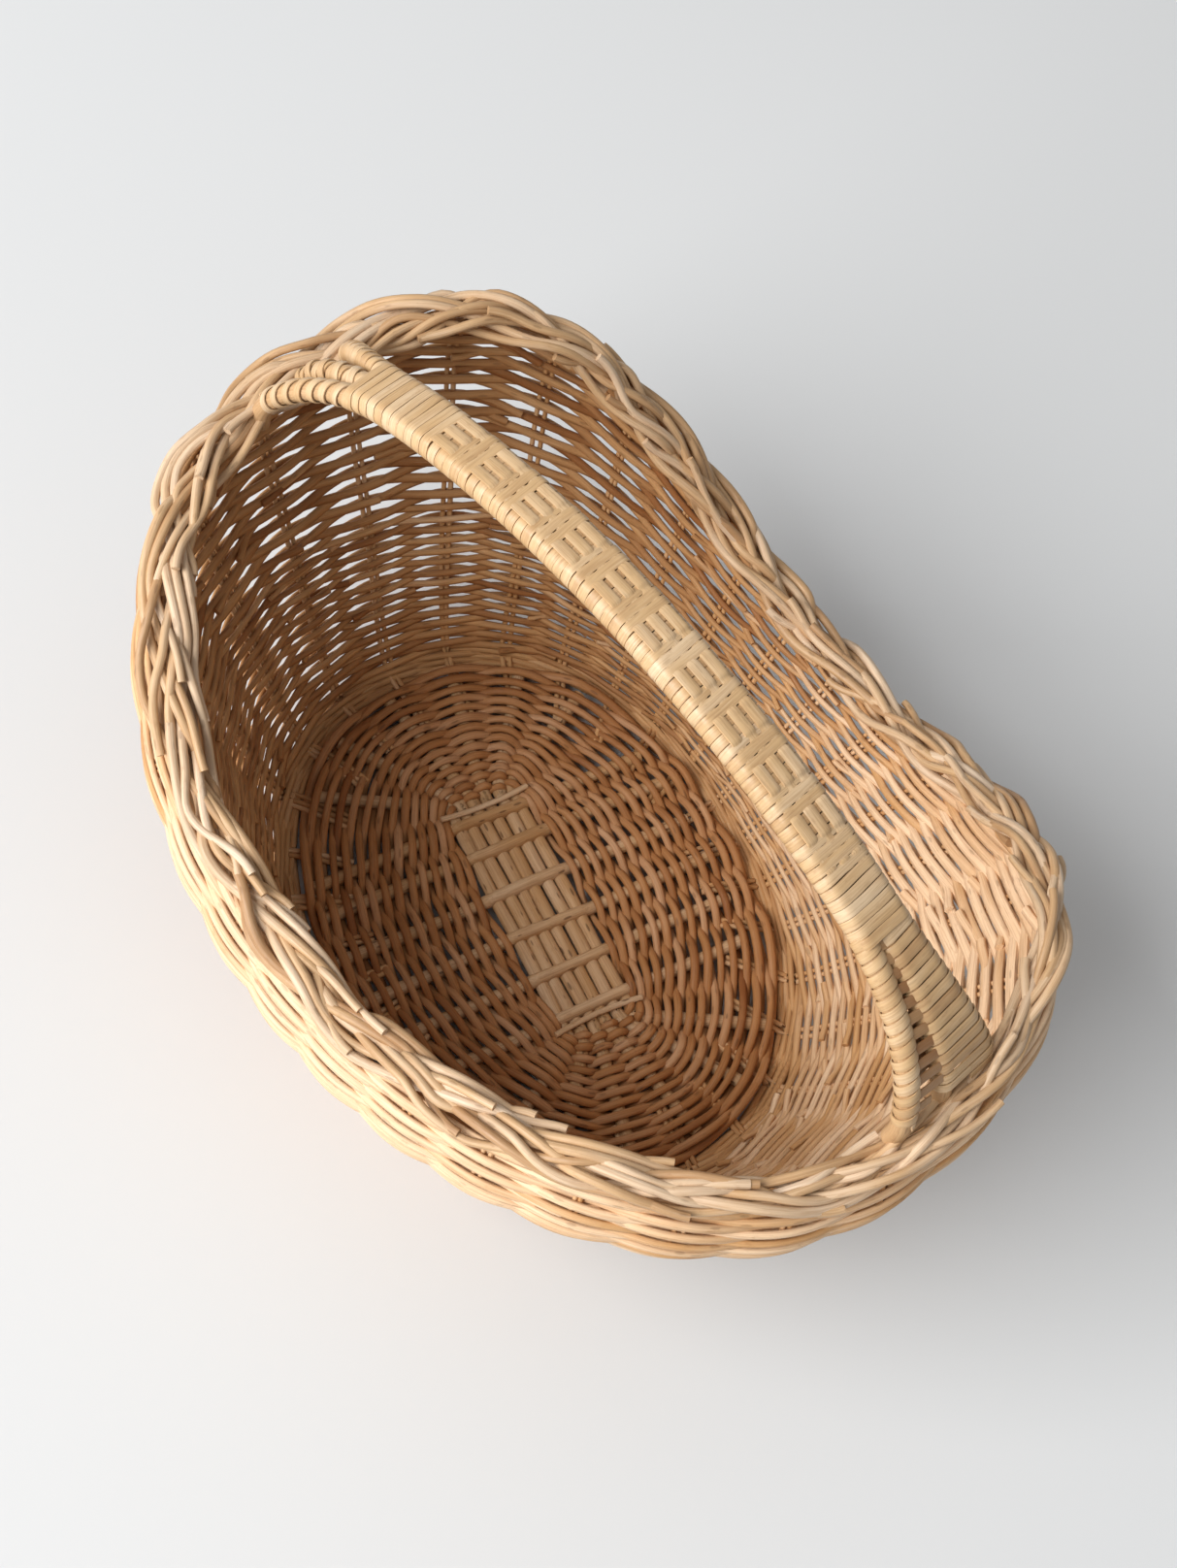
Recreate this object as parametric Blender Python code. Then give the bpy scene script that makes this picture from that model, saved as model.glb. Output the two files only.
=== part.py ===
"""Willow market basket: pierced oval base, woven wall on stakes, rolled border and a fixed bow handle.

Run with: blender --background --python part.py
Metres, +Z up. The basket stands on z = 0. +X runs along the handle.
"""

import math

import bmesh
import bpy
from mathutils import Matrix, Vector

GAP = 0.0003  # clearance kept between touching pieces

# Base: an oval slath of pierced cross sticks with long sticks through them
BASE_CENTRE = Vector((0.0082, 0.0026, 0.0))
BASE_TURN = math.radians(-13.4)  # the base sits a little askew under the handle
BASE_HALF_LENGTH = 0.1354
BASE_HALF_WIDTH = 0.1052
BASE_ROUNDNESS = 2.23
BASE_MID_HEIGHT = 0.0085  # height of the stick axes
BASE_THICKNESS = 0.0124
CROSS_STICK_COUNT = 6
CROSS_STICK_DIAMETER = 0.0067
CROSS_STICK_PITCH = 0.0228
CROSS_STICK_SHIFT = -0.0043
STICK_END_MARGIN = 0.004  # a cross stick stops this far inside the base edge
STICK_END_PLAY = 0.003  # free length at each end of a stick in its socket
EYE_TAPER = 0.007  # how far outside the window the eye has narrowed back
EYE_OVERLAP = 0.003
FIRST_STICK_SHIFT = 0.0058  # the first cross stick lies closer to the second
CROSS_STICK_EYE_HEIGHT = 0.0118  # outer height where the stick opens round the long sticks
LONG_STICK_COUNT = 6
LONG_STICK_DIAMETER = 0.0058
LONG_STICK_PITCH = 0.0068
LONG_STICK_SPREAD = math.radians(62)  # direction of the outer sticks where they fan out
FAN_STEPS = 4  # straight pieces in the bend of a long stick
LONG_STICK_STEP = 0.001
LONG_STICK_MARGIN = 0.006  # a long stick stops this far inside the base edge
FAN_BEND = 0.016  # length over which a long stick turns into its fan direction
END_ROD_DIAMETER = 0.0030
END_ROD_HALF_LENGTH = 0.0195
WINDOW_MARGIN = 0.001  # from an end rod to the weave
CUTTER_OVERSHOOT = 0.01  # how far a cutter runs past what it cuts
WINDOW_HALF_WIDTH = 0.0206  # bare middle of the base, between the inner rows of weave

# Rim: the centre line of the border, high at both ends and low at both sides
RIM_CENTRE = Vector((-0.0014, -0.0004, 0.0))
RIM_TURN = math.radians(-0.9)
RIM_HALF_LENGTH = 0.2115
RIM_HALF_WIDTH = 0.1530
RIM_ROUNDNESS = 2.2
RIM_HEIGHT = 0.1815
RIM_SADDLE = 0.0300
RIM_SADDLE_SHARPNESS = -0.0125
RIM_FAR_SIDE_DIP = 0.0128  # the +Y side is dented lower than the -Y side
RIM_SKEW = 0.0035
BORDER_DIAMETER = 0.0212

# Wall
WALL_FOOT_HEIGHT = 0.0035
WALL_FOOT_OUT = 0.0050  # the wall starts this far outside the base edge
WALL_FLARE = 0.55  # power of the flare: below 1 opens fast at the bottom
WALL_BELLY = 0.0190
WALL_BELLY_RISE = 2.6  # above 1 puts the belly nearer the border
UPSETT_HEIGHT = 0.0170
UPSETT_HALF_THICKNESS = 0.0047
UPSETT_FOOT_SPREAD = 0.002
UPSETT_SHOULDER = 0.001
UPSETT_SHOULDER_SHARE = 0.6  # height of its outer shoulder
STAKE_COUNT = 24
STAKE_WIDTH = 0.0074
STAKE_THICKNESS = 0.0036
STAKE_TOP_RISE = 0.98  # the stakes end inside the border
BAND_COUNT = 6
BAND_THICKNESS = 0.0036
BAND_GAP = 0.0006
STAKE_TO_BAND = 0.0011
BAND_EDGE_GAP = 0.012  # share of a band's height left open along each edge
BAND_FLAT_SHARE = 0.2  # share of the stake pitch over which a band lies flat on its stake
BORDER_CLEARANCE = 0.0136  # from the border's centre line down to the top band

# Handle: three bow rods side by side, bound together, splitting into three legs at each end
HANDLE_HALF_SPAN = 0.2025
HANDLE_APEX = 0.2814
HANDLE_ROUNDNESS = 1.91
HANDLE_ROD_DIAMETER = 0.0082
HANDLE_ROD_PITCH = 0.0086
HANDLE_LEG_PITCH = 0.0240
HANDLE_FAN_START = 0.55  # share of the half span where the rods begin to part
HANDLE_BINDING_END = 0.62
GRIP_STEPS = 10
LEG_SHARES = (0.67, 0.73, 0.79, 0.85, 0.91, 1.0)  # stations of the rods past the binding
LEG_WRAP_SHARES = (0.73, 0.79, 0.84)
LEG_FOOT_DEPTH = 0.0050  # how far a leg goes below the border's centre line
BINDING_THICKNESS = 0.0011
LEAD_STRIP_WIDTH = 0.0046
LEAD_STRIP_THICKNESS = 0.0008
LEAD_STRIP_PITCH = 0.0070
LEAD_STRIP_STEPS = 8  # grip stations it covers on each side of the top

WILLOW_COLOURS = {
    "stick_willow": ((0.46, 0.27, 0.12), 0.55),
    "base_willow": ((0.40, 0.22, 0.09), 0.60),
    "wall_willow": ((0.56, 0.34, 0.15), 0.58),
    "border_willow": ((0.66, 0.43, 0.21), 0.52),
    "handle_cane": ((0.70, 0.49, 0.26), 0.45),
}


def clear_scene():
    for obj in list(bpy.data.objects):
        bpy.data.objects.remove(obj, do_unlink=True)


def willow_material(node_name, finish):
    """A Principled material for one node, in one of the willow finishes."""
    colour, roughness = WILLOW_COLOURS[finish]
    material = bpy.data.materials.new(node_name + "_" + finish)
    material.use_nodes = True
    shader = material.node_tree.nodes["Principled BSDF"]
    shader.inputs["Base Color"].default_value = (*colour, 1.0)
    shader.inputs["Roughness"].default_value = roughness
    shader.inputs["Metallic"].default_value = 0.0
    return material


def add_object(name, mesh_builder, finish=None):
    """One object from a bmesh. Without a finish it is a cutter, left out of the model."""
    bmesh.ops.recalc_face_normals(mesh_builder, faces=mesh_builder.faces)
    mesh = bpy.data.meshes.new(name)
    mesh_builder.to_mesh(mesh)
    mesh_builder.free()
    obj = bpy.data.objects.new(name, mesh)
    bpy.context.scene.collection.objects.link(obj)
    if finish is None:
        obj.hide_render = True
        obj.display_type = "WIRE"
    else:
        mesh.materials.append(willow_material(name, finish))
        mesh.shade_smooth()
        mesh.set_sharp_from_angle(angle=math.radians(35))
    return obj


def add_loft(builder, rings, closed_loop=False):
    """Skins a list of equal rings with triangles, so that a cutter folds exactly as its piece does."""
    rows = [[builder.verts.new(point) for point in ring] for ring in rings]
    count = len(rows[0])
    last = len(rows) if closed_loop else len(rows) - 1
    for i in range(last):
        row, following = rows[i], rows[(i + 1) % len(rows)]
        for j in range(count):
            k = (j + 1) % count
            builder.faces.new((row[j], row[k], following[k]))
            builder.faces.new((row[j], following[k], following[j]))
    if not closed_loop:
        builder.faces.new(rows[0][::-1])
        builder.faces.new(rows[-1])


def loft_object(name, rings, finish=None, closed_loop=False):
    builder = bmesh.new()
    add_loft(builder, rings, closed_loop)
    return add_object(name, builder, finish)


def cut(obj, cutter):
    modifier = obj.modifiers.new("cut_by_" + cutter.name, "BOOLEAN")
    modifier.operation = "DIFFERENCE"
    modifier.solver = "EXACT"
    modifier.object = cutter


def ellipse_ring(centre, side, up, half_width, half_height, sides):
    """A ring of points round a centre, spanned by two directions."""
    ring = []
    for i in range(sides):
        angle = 2 * math.pi * (i + 0.5) / sides
        offset = side * (half_width * math.cos(angle)) + up * (half_height * math.sin(angle))
        ring.append(centre + offset)
    return ring


def tube_rings(path, radius, sides, up=Vector((0, 0, 1))):
    """Round rings along a list of points."""
    rings = []
    for i, point in enumerate(path):
        ahead = path[min(i + 1, len(path) - 1)]
        behind = path[max(i - 1, 0)]
        along = (ahead - behind).normalized()
        side = along.cross(up).normalized()
        rings.append(ellipse_ring(point, side, side.cross(along), radius, radius, sides))
    return rings


def superellipse_radius(angle, half_length, half_width, roundness):
    """Distance from the centre to a superellipse in the direction of the angle."""
    across = (abs(math.cos(angle)) / half_length) ** roundness
    up = (abs(math.sin(angle)) / half_width) ** roundness
    return (across + up) ** (-1 / roundness)


def to_world(point):
    """From the base's own axes, with its long side along X, to the object's axes."""
    return Matrix.Rotation(BASE_TURN, 3, "Z") @ point + BASE_CENTRE


def base_edge_radius(angle):
    """Base outline, as a distance from the base centre in the object's directions."""
    return superellipse_radius(angle - BASE_TURN, BASE_HALF_LENGTH, BASE_HALF_WIDTH, BASE_ROUNDNESS)


def rim_point(turn):
    """Centre line of the border, for a turn of 0 to 2 pi from the +X end."""
    cosine, sine = math.cos(turn), math.sin(turn)
    x = RIM_HALF_LENGTH * math.copysign(abs(cosine) ** (2 / RIM_ROUNDNESS), cosine)
    y = RIM_HALF_WIDTH * math.copysign(abs(sine) ** (2 / RIM_ROUNDNESS), sine)
    z = (
        RIM_HEIGHT
        + RIM_SADDLE * math.cos(2 * turn)
        + RIM_SADDLE_SHARPNESS * math.cos(4 * turn)
        + RIM_FAR_SIDE_DIP * math.sin(3 * turn)
        + RIM_SKEW * math.sin(4 * turn)
    )
    return Matrix.Rotation(RIM_TURN, 3, "Z") @ Vector((x, y, z)) + RIM_CENTRE


def rim_at_angle(angle):
    """Rim point seen from the base centre in a direction, found by halving."""
    low, high = angle - 0.6, angle + 0.6
    for _ in range(40):
        middle = (low + high) / 2
        offset = rim_point(middle) - BASE_CENTRE
        error = math.remainder(math.atan2(offset.y, offset.x) - angle, 2 * math.pi)
        if error > 0:
            high = middle
        else:
            low = middle
    return rim_point((low + high) / 2)


def wall_profile(angle, rise):
    """Radius from the base centre and height of the wall, for a rise of 0 at the foot to 1 at the rim."""
    rim = rim_at_angle(angle)
    rim_radius = (rim - BASE_CENTRE).to_2d().length
    foot_radius = base_edge_radius(angle) + WALL_FOOT_OUT
    share = rise**WALL_FLARE
    radius = foot_radius * (1 - share) + rim_radius * share
    radius += WALL_BELLY * math.sin(math.pi * rise**WALL_BELLY_RISE)
    height = WALL_FOOT_HEIGHT * (1 - rise) + rim.z * rise
    return radius, height


def polar_point(angle, radius, height):
    return BASE_CENTRE + Vector((radius * math.cos(angle), radius * math.sin(angle), height))


def wall_levels(angle):
    """Rises of the band edges, from the top of the wale up to the border."""
    rim_height = rim_at_angle(angle).z
    span = rim_height - WALL_FOOT_HEIGHT
    bottom = (UPSETT_HEIGHT - WALL_FOOT_HEIGHT + BAND_GAP) / span
    top = 1 - BORDER_CLEARANCE / span
    return [bottom + (top - bottom) * i / BAND_COUNT for i in range(BAND_COUNT + 1)]


def wall_frame(angle, rise):
    """A wall point, and the level vector that leads from it through one unit of wall thickness."""
    step = 0.02
    low, high = max(rise - step, 0.0), min(rise + step, 1.0)
    radius_low, height_low = wall_profile(angle, low)
    radius_high, height_high = wall_profile(angle, high)
    lean = math.hypot(radius_high - radius_low, height_high - height_low) / (height_high - height_low)
    outward = Vector((math.cos(angle), math.sin(angle), 0)) * lean
    return polar_point(angle, *wall_profile(angle, rise)), outward


# ---------------------------------------------------------------- base


def cross_stick_position(index):
    position = CROSS_STICK_SHIFT + (index - (CROSS_STICK_COUNT - 1) / 2) * CROSS_STICK_PITCH
    return position + (FIRST_STICK_SHIFT if index == 0 else 0.0)


def base_half_width_at(x):
    share = 1 - (abs(x) / BASE_HALF_LENGTH) ** BASE_ROUNDNESS
    return BASE_HALF_WIDTH * share ** (1 / BASE_ROUNDNESS)


def cross_stick_rings(index, extra=0.0):
    """A round stick that swells into an eye where the long sticks pass through it."""
    x = cross_stick_position(index)
    reach = base_half_width_at(x) - STICK_END_MARGIN + (STICK_END_PLAY if extra else 0)
    radius = CROSS_STICK_DIAMETER / 2 + extra
    eye = CROSS_STICK_EYE_HEIGHT / 2 + extra
    stations = [
        (-reach, radius),
        (-WINDOW_HALF_WIDTH - EYE_TAPER, radius),
        (-WINDOW_HALF_WIDTH + EYE_OVERLAP, eye),
        (WINDOW_HALF_WIDTH - EYE_OVERLAP, eye),
        (WINDOW_HALF_WIDTH + EYE_TAPER, radius),
        (reach, radius),
    ]
    rings = []
    for y, half_height in stations:
        centre = Vector((x, y, BASE_MID_HEIGHT))
        ring = ellipse_ring(centre, Vector((1, 0, 0)), Vector((0, 0, 1)), radius, half_height, 8)
        rings.append([to_world(point) for point in ring])
    return rings


def long_stick_path(index):
    """Straight through the cross sticks, then fanned out to the base edge at both ends."""
    offset = index - (LONG_STICK_COUNT - 1) / 2
    y = offset * LONG_STICK_PITCH
    spread = LONG_STICK_SPREAD * offset / ((LONG_STICK_COUNT - 1) / 2)
    clear = CROSS_STICK_DIAMETER / 2 + END_ROD_DIAMETER
    halves = []
    for sign, last in ((1, CROSS_STICK_COUNT - 1), (-1, 0)):
        start = Vector((cross_stick_position(last) + sign * clear, y, BASE_MID_HEIGHT))
        path = [start]
        heading = 0.0
        for _ in range(FAN_STEPS):
            heading += spread / FAN_STEPS
            step = Vector((sign * math.cos(heading), math.sin(heading), 0))
            path.append(path[-1] + step * (FAN_BEND / FAN_STEPS))
        step = Vector((sign * math.cos(spread), math.sin(spread), 0))
        while inside_base(path[-1] + step * LONG_STICK_MARGIN):
            path[-1] = path[-1] + step * LONG_STICK_STEP
        halves.append(path)
    return halves[1][::-1] + halves[0]


def inside_base(point):
    radius = superellipse_radius(
        math.atan2(point.y, point.x), BASE_HALF_LENGTH, BASE_HALF_WIDTH, BASE_ROUNDNESS
    )
    return point.to_2d().length < radius


def long_stick_rings(index, extra=0.0):
    path = [to_world(point) for point in long_stick_path(index)]
    if extra:
        path[0] += (path[0] - path[1]).normalized() * STICK_END_PLAY
        path[-1] += (path[-1] - path[-2]).normalized() * STICK_END_PLAY
    return tube_rings(path, LONG_STICK_DIAMETER / 2 + extra, 8)


def cutter_from_lofts(name, all_rings):
    builder = bmesh.new()
    for rings in all_rings:
        add_loft(builder, rings)
    return add_object(name, builder)


def box_rings(x_low, x_high, y_half, z_half):
    rings = []
    for x in (x_low, x_high):
        corners = ((-y_half, -z_half), (y_half, -z_half), (y_half, z_half), (-y_half, z_half))
        rings.append([to_world(Vector((x, y, BASE_MID_HEIGHT + z))) for y, z in corners])
    return rings


def make_base():
    first, last = cross_stick_position(0), cross_stick_position(CROSS_STICK_COUNT - 1)
    slot_half_width = (LONG_STICK_COUNT - 1) / 2 * LONG_STICK_PITCH + LONG_STICK_DIAMETER / 2 + GAP
    slot_half_height = LONG_STICK_DIAMETER / 2 + GAP
    slot = loft_object(
        "cut_slot",
        box_rings(first - CUTTER_OVERSHOOT, last + CUTTER_OVERSHOOT, slot_half_width, slot_half_height),
    )
    for index in range(CROSS_STICK_COUNT):
        stick = loft_object(f"base_cross_stick_{index + 1}", cross_stick_rings(index), "stick_willow")
        cut(stick, slot)
    for index in range(LONG_STICK_COUNT):
        loft_object(f"base_long_stick_{index + 1}", long_stick_rings(index), "stick_willow")
    rod_out = CROSS_STICK_DIAMETER / 2 + END_ROD_DIAMETER / 2 + GAP
    rod_up = LONG_STICK_DIAMETER / 2 + END_ROD_DIAMETER / 2 + GAP
    for number, x in ((1, first - rod_out), (2, last + rod_out)):
        half = END_ROD_HALF_LENGTH
        ends = [Vector((x, y, BASE_MID_HEIGHT + rod_up)) for y in (-half, half)]
        rings = tube_rings([to_world(point) for point in ends], END_ROD_DIAMETER / 2, 6)
        loft_object(f"base_end_rod_{number}", rings, "stick_willow")
    make_base_weave(first - rod_out, last + rod_out)


def make_base_weave(window_start, window_end):
    """The oval of weaving between the sticks, with a tunnel round each stick."""
    rings = []
    for z in (-BASE_THICKNESS / 2, BASE_THICKNESS / 2):
        ring = []
        for i in range(STAKE_COUNT * 2):
            angle = math.pi * i / STAKE_COUNT
            ring.append(polar_point(angle, base_edge_radius(angle), BASE_MID_HEIGHT + z))
        rings.append(ring)
    weave = loft_object("base_weave", rings, "base_willow")
    margin = END_ROD_DIAMETER / 2 + WINDOW_MARGIN
    depth = BASE_THICKNESS / 2 + CUTTER_OVERSHOOT
    window_rings = box_rings(window_start - margin, window_end + margin, WINDOW_HALF_WIDTH, depth)
    cut(weave, loft_object("cut_window", window_rings))
    cross = [cross_stick_rings(i, GAP) for i in range(CROSS_STICK_COUNT)]
    cut(weave, cutter_from_lofts("cut_cross_sticks", cross))
    long_sticks = [long_stick_rings(i, GAP) for i in range(LONG_STICK_COUNT)]
    cut(weave, cutter_from_lofts("cut_long_sticks", long_sticks))


# ---------------------------------------------------------------- wall


def stake_angle(index):
    return 2 * math.pi * (index + 0.5) / STAKE_COUNT


def stake_rings(index, extra=0.0):
    """A flat bundle of thin rods that follows the wall from the foot wale into the border."""
    angle = stake_angle(index)
    levels = wall_levels(angle)
    frames = [wall_frame(angle, rise) for rise in levels + [STAKE_TOP_RISE]]
    foot = polar_point(angle, *wall_profile(angle, 0.0))
    centres = [foot] + [frame[0] for frame in frames]
    normals = [frames[0][1]] + [frame[1] for frame in frames]
    centres[0] += (centres[0] - centres[1]).normalized() * extra
    centres[-1] += (centres[-1] - centres[-2]).normalized() * extra
    sideways = Vector((-math.sin(angle), math.cos(angle), 0))
    half_width = STAKE_WIDTH / 2 + extra
    half_height = STAKE_THICKNESS / 2 + extra
    return [
        ellipse_ring(centre, sideways, outward, half_width, half_height, 6)
        for centre, outward in zip(centres, normals)
    ]


def make_upsett(stake_cutter):
    """The thick wale that turns the stakes up. The basket stands on its flat underside."""
    rings = []
    for i in range(STAKE_COUNT * 2):
        angle = math.pi * i / STAKE_COUNT
        foot_radius, _ = wall_profile(angle, 0.0)
        rise = (UPSETT_HEIGHT - WALL_FOOT_HEIGHT) / (rim_at_angle(angle).z - WALL_FOOT_HEIGHT)
        top_radius, _ = wall_profile(angle, rise)
        half = UPSETT_HALF_THICKNESS
        corners = (
            (foot_radius - half, 0.0),
            (foot_radius + half + UPSETT_FOOT_SPREAD, 0.0),
            (top_radius + half + UPSETT_SHOULDER, UPSETT_HEIGHT * UPSETT_SHOULDER_SHARE),
            (top_radius + half, UPSETT_HEIGHT),
            (top_radius - half - UPSETT_SHOULDER, UPSETT_HEIGHT),
        )
        rings.append([polar_point(angle, radius, z) for radius, z in corners])
    upsett = loft_object("foot_wale", rings, "wall_willow", closed_loop=True)
    cut(upsett, stake_cutter)


def band_corner(angle, rise, side, face):
    """A corner of a weave band: side is +1 outside the stakes, face picks its outer or inner skin."""
    centre, outward = wall_frame(angle, rise)
    middle = STAKE_THICKNESS / 2 + STAKE_TO_BAND + BAND_THICKNESS / 2
    return centre + outward * (side * middle + face * BAND_THICKNESS / 2)


def make_wall_bands():
    """Each band stands for some rows of weave: it passes in front of one stake and behind the next."""
    for band in range(BAND_COUNT):
        rings = []
        for index in range(STAKE_COUNT):
            side = 1 if (index + band) % 2 == 0 else -1
            for shift in (-BAND_FLAT_SHARE, BAND_FLAT_SHARE):
                angle = stake_angle(index) + shift * 2 * math.pi / STAKE_COUNT
                levels = wall_levels(angle)
                half_gap = (levels[1] - levels[0]) * BAND_EDGE_GAP
                low, high = levels[band] + half_gap, levels[band + 1] - half_gap
                rings.append(
                    [
                        band_corner(angle, low, side, -1),
                        band_corner(angle, low, side, 1),
                        band_corner(angle, high, side, 1),
                        band_corner(angle, high, side, -1),
                    ]
                )
        loft_object(f"wall_weave_{band + 1}", rings, "wall_willow", closed_loop=True)


def make_border(stake_cutter, rod_cutter):
    """The rolled border, with pockets for the stake tops and the handle legs."""
    count = STAKE_COUNT * 2
    rings = []
    for i in range(count):
        turn = 2 * math.pi * i / count
        step = 0.02
        along = (rim_point(turn + step) - rim_point(turn - step)).normalized()
        side = along.cross(Vector((0, 0, 1))).normalized()
        radius = BORDER_DIAMETER / 2
        rings.append(ellipse_ring(rim_point(turn), side, side.cross(along), radius, radius, 10))
    border = loft_object("rim_border", rings, "border_willow", closed_loop=True)
    cut(border, stake_cutter)
    cut(border, rod_cutter)


def make_wall():
    stake_cutter = cutter_from_lofts(
        "cut_stakes", [stake_rings(i, GAP) for i in range(STAKE_COUNT)]
    )
    for index in range(STAKE_COUNT):
        loft_object(f"wall_stake_{index + 1}", stake_rings(index), "wall_willow")
    make_upsett(stake_cutter)
    make_wall_bands()
    rod_cutter = cutter_from_lofts("cut_handle_legs", [handle_rod_rings(i, GAP) for i in (-1, 0, 1)])
    make_border(stake_cutter, rod_cutter)


# ---------------------------------------------------------------- handle


def handle_foot_height():
    return RIM_HEIGHT + RIM_SADDLE + RIM_SADDLE_SHARPNESS


def handle_point(share, lateral=0.0, lift=0.0):
    """A point of the bow. share runs from -1 to 1 along the half span's sine."""
    reach = math.sin(share * math.pi / 2)
    power = HANDLE_ROUNDNESS
    drop = (1 - min(abs(reach), 1.0) ** power) ** (1 / power)
    foot = handle_foot_height()
    centre = RIM_CENTRE + Vector((HANDLE_HALF_SPAN * reach, lateral, foot + (HANDLE_APEX - foot) * drop))
    if lift:
        centre += handle_up(share) * lift
    return centre


def handle_up(share):
    """Outward direction of the bow, away from the basket."""
    low, high = max(share - 0.01, -1.0), min(share + 0.01, 1.0)
    along = (handle_point(high) - handle_point(low)).normalized()
    return along.cross(Vector((0, -1, 0))).normalized() * -1


def leg_fan(share):
    """0 along the bound grip, 1 where the legs enter the border."""
    fan = max(0.0, (abs(share) - HANDLE_FAN_START) / (1 - HANDLE_FAN_START))
    return fan * fan * (3 - 2 * fan)


def rod_lateral(rod, share):
    return rod * (HANDLE_ROD_PITCH + (HANDLE_LEG_PITCH - HANDLE_ROD_PITCH) * leg_fan(share))


def grip_shares():
    """Stations along the bound grip, shared by the rods and their binding so that both bend alike."""
    return [HANDLE_BINDING_END * i / GRIP_STEPS for i in range(-GRIP_STEPS, GRIP_STEPS + 1)]


def handle_rod_path(rod):
    shares = [-share for share in LEG_SHARES[::-1]] + grip_shares() + list(LEG_SHARES)
    path = [handle_point(share, rod_lateral(rod, share)) for share in shares]
    down = Vector((0, 0, LEG_FOOT_DEPTH))
    return [path[0] - down] + path + [path[-1] - down]


def handle_rings(path, half_width, half_height, sides, up_hint=Vector((0, 1, 0))):
    """Rings round a bow path, kept square to the handle's flat face."""
    rings = []
    for i, point in enumerate(path):
        along = (path[min(i + 1, len(path) - 1)] - path[max(i - 1, 0)]).normalized()
        up = along.cross(up_hint).normalized()
        rings.append(ellipse_ring(point, up.cross(along), up, half_width, half_height, sides))
    return rings


def handle_rod_rings(rod, extra=0.0):
    radius = HANDLE_ROD_DIAMETER / 2 + extra
    path = handle_rod_path(rod)
    if extra:
        path[0] = path[0] - Vector((0, 0, GAP))
        path[-1] = path[-1] - Vector((0, 0, GAP))
    return handle_rings(path, radius, radius, 8)


def add_sleeve(builder, outer_rings, inner_rings):
    """A tube with wall thickness: outer skin, inner skin and two ring-shaped ends."""
    outer = [[builder.verts.new(p) for p in ring] for ring in outer_rings]
    inner = [[builder.verts.new(p) for p in ring] for ring in inner_rings]
    count = len(outer[0])
    for rows, flip in ((outer, False), (inner, True)):
        for row, following in zip(rows, rows[1:]):
            for j in range(count):
                k = (j + 1) % count
                face = (row[j], row[k], following[k], following[j])
                builder.faces.new(face[::-1] if flip else face)
    for end in (0, -1):
        for j in range(count):
            k = (j + 1) % count
            builder.faces.new((outer[end][j], outer[end][k], inner[end][k], inner[end][j]))


def flat_oval_ring(share, half_width, half_height):
    """A rounded flat section across the grip: straight top and bottom, rounded sides."""
    side_run = half_width - half_height
    ring = []
    for centre, start in ((side_run, -90), (-side_run, 90)):
        for step in range(4):
            angle = math.radians(start + 60 * step)
            lateral = centre + half_height * math.cos(angle)
            ring.append(handle_point(share, lateral, half_height * math.sin(angle)))
    return ring


def make_handle():
    for number, rod in enumerate((-1, 0, 1), start=1):
        loft_object(f"handle_rod_{number}", handle_rod_rings(rod), "handle_cane")
    shares = grip_shares()
    inner_height = HANDLE_ROD_DIAMETER / 2 / math.cos(math.radians(30)) + GAP
    inner_width = rod_lateral(1, HANDLE_BINDING_END) + inner_height
    outer_height, outer_width = inner_height + BINDING_THICKNESS, inner_width + BINDING_THICKNESS
    builder = bmesh.new()
    add_sleeve(
        builder,
        [flat_oval_ring(s, outer_width, outer_height) for s in shares],
        [flat_oval_ring(s, inner_width, inner_height) for s in shares],
    )
    add_object("handle_binding", builder, "handle_cane")
    for number, lane in enumerate((-1, 0, 1), start=1):
        make_lead_strip(f"handle_lead_strip_{number}", lane, outer_height + GAP)
    for end, sign in (("near", 1), ("far", -1)):
        for number, rod in enumerate((-1, 0, 1), start=1):
            make_leg_wrap(f"handle_leg_wrap_{end}_{number}", rod, sign)


def make_lead_strip(name, lane, height):
    """A flat skein laid lengthwise on the grip, over and under the binding."""
    half = LEAD_STRIP_WIDTH / 2
    rings = []
    for i in range(-LEAD_STRIP_STEPS, LEAD_STRIP_STEPS + 1):
        share = HANDLE_BINDING_END * i / GRIP_STEPS
        lateral = lane * LEAD_STRIP_PITCH
        low, high = height, height + LEAD_STRIP_THICKNESS
        corners = ((-half, low), (half, low), (half, high), (-half, high))
        rings.append([handle_point(share, lateral + y, z) for y, z in corners])
    loft_object(name, rings, "handle_cane")


def make_leg_wrap(name, rod, sign):
    """The binding round one leg, from the parting of the rods down to the border."""
    path = [handle_point(sign * s, rod_lateral(rod, sign * s)) for s in LEG_WRAP_SHARES]
    inner = HANDLE_ROD_DIAMETER / 2 + GAP * 2
    outer = inner + BINDING_THICKNESS
    builder = bmesh.new()
    add_sleeve(builder, handle_rings(path, outer, outer, 8), handle_rings(path, inner, inner, 8))
    add_object(name, builder, "handle_cane")


def main():
    clear_scene()
    make_base()
    make_wall()
    make_handle()


main()
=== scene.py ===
"""Woven willow market basket: every rod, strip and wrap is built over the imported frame.

Metres, +Z up. The basket stands on z = 0 and +X runs along the handle.
"""

import math
from functools import lru_cache

import bpy
import numpy as np
from bpy.props import FloatProperty, FloatVectorProperty, IntProperty, PointerProperty
from mathutils import Matrix, Vector


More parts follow.
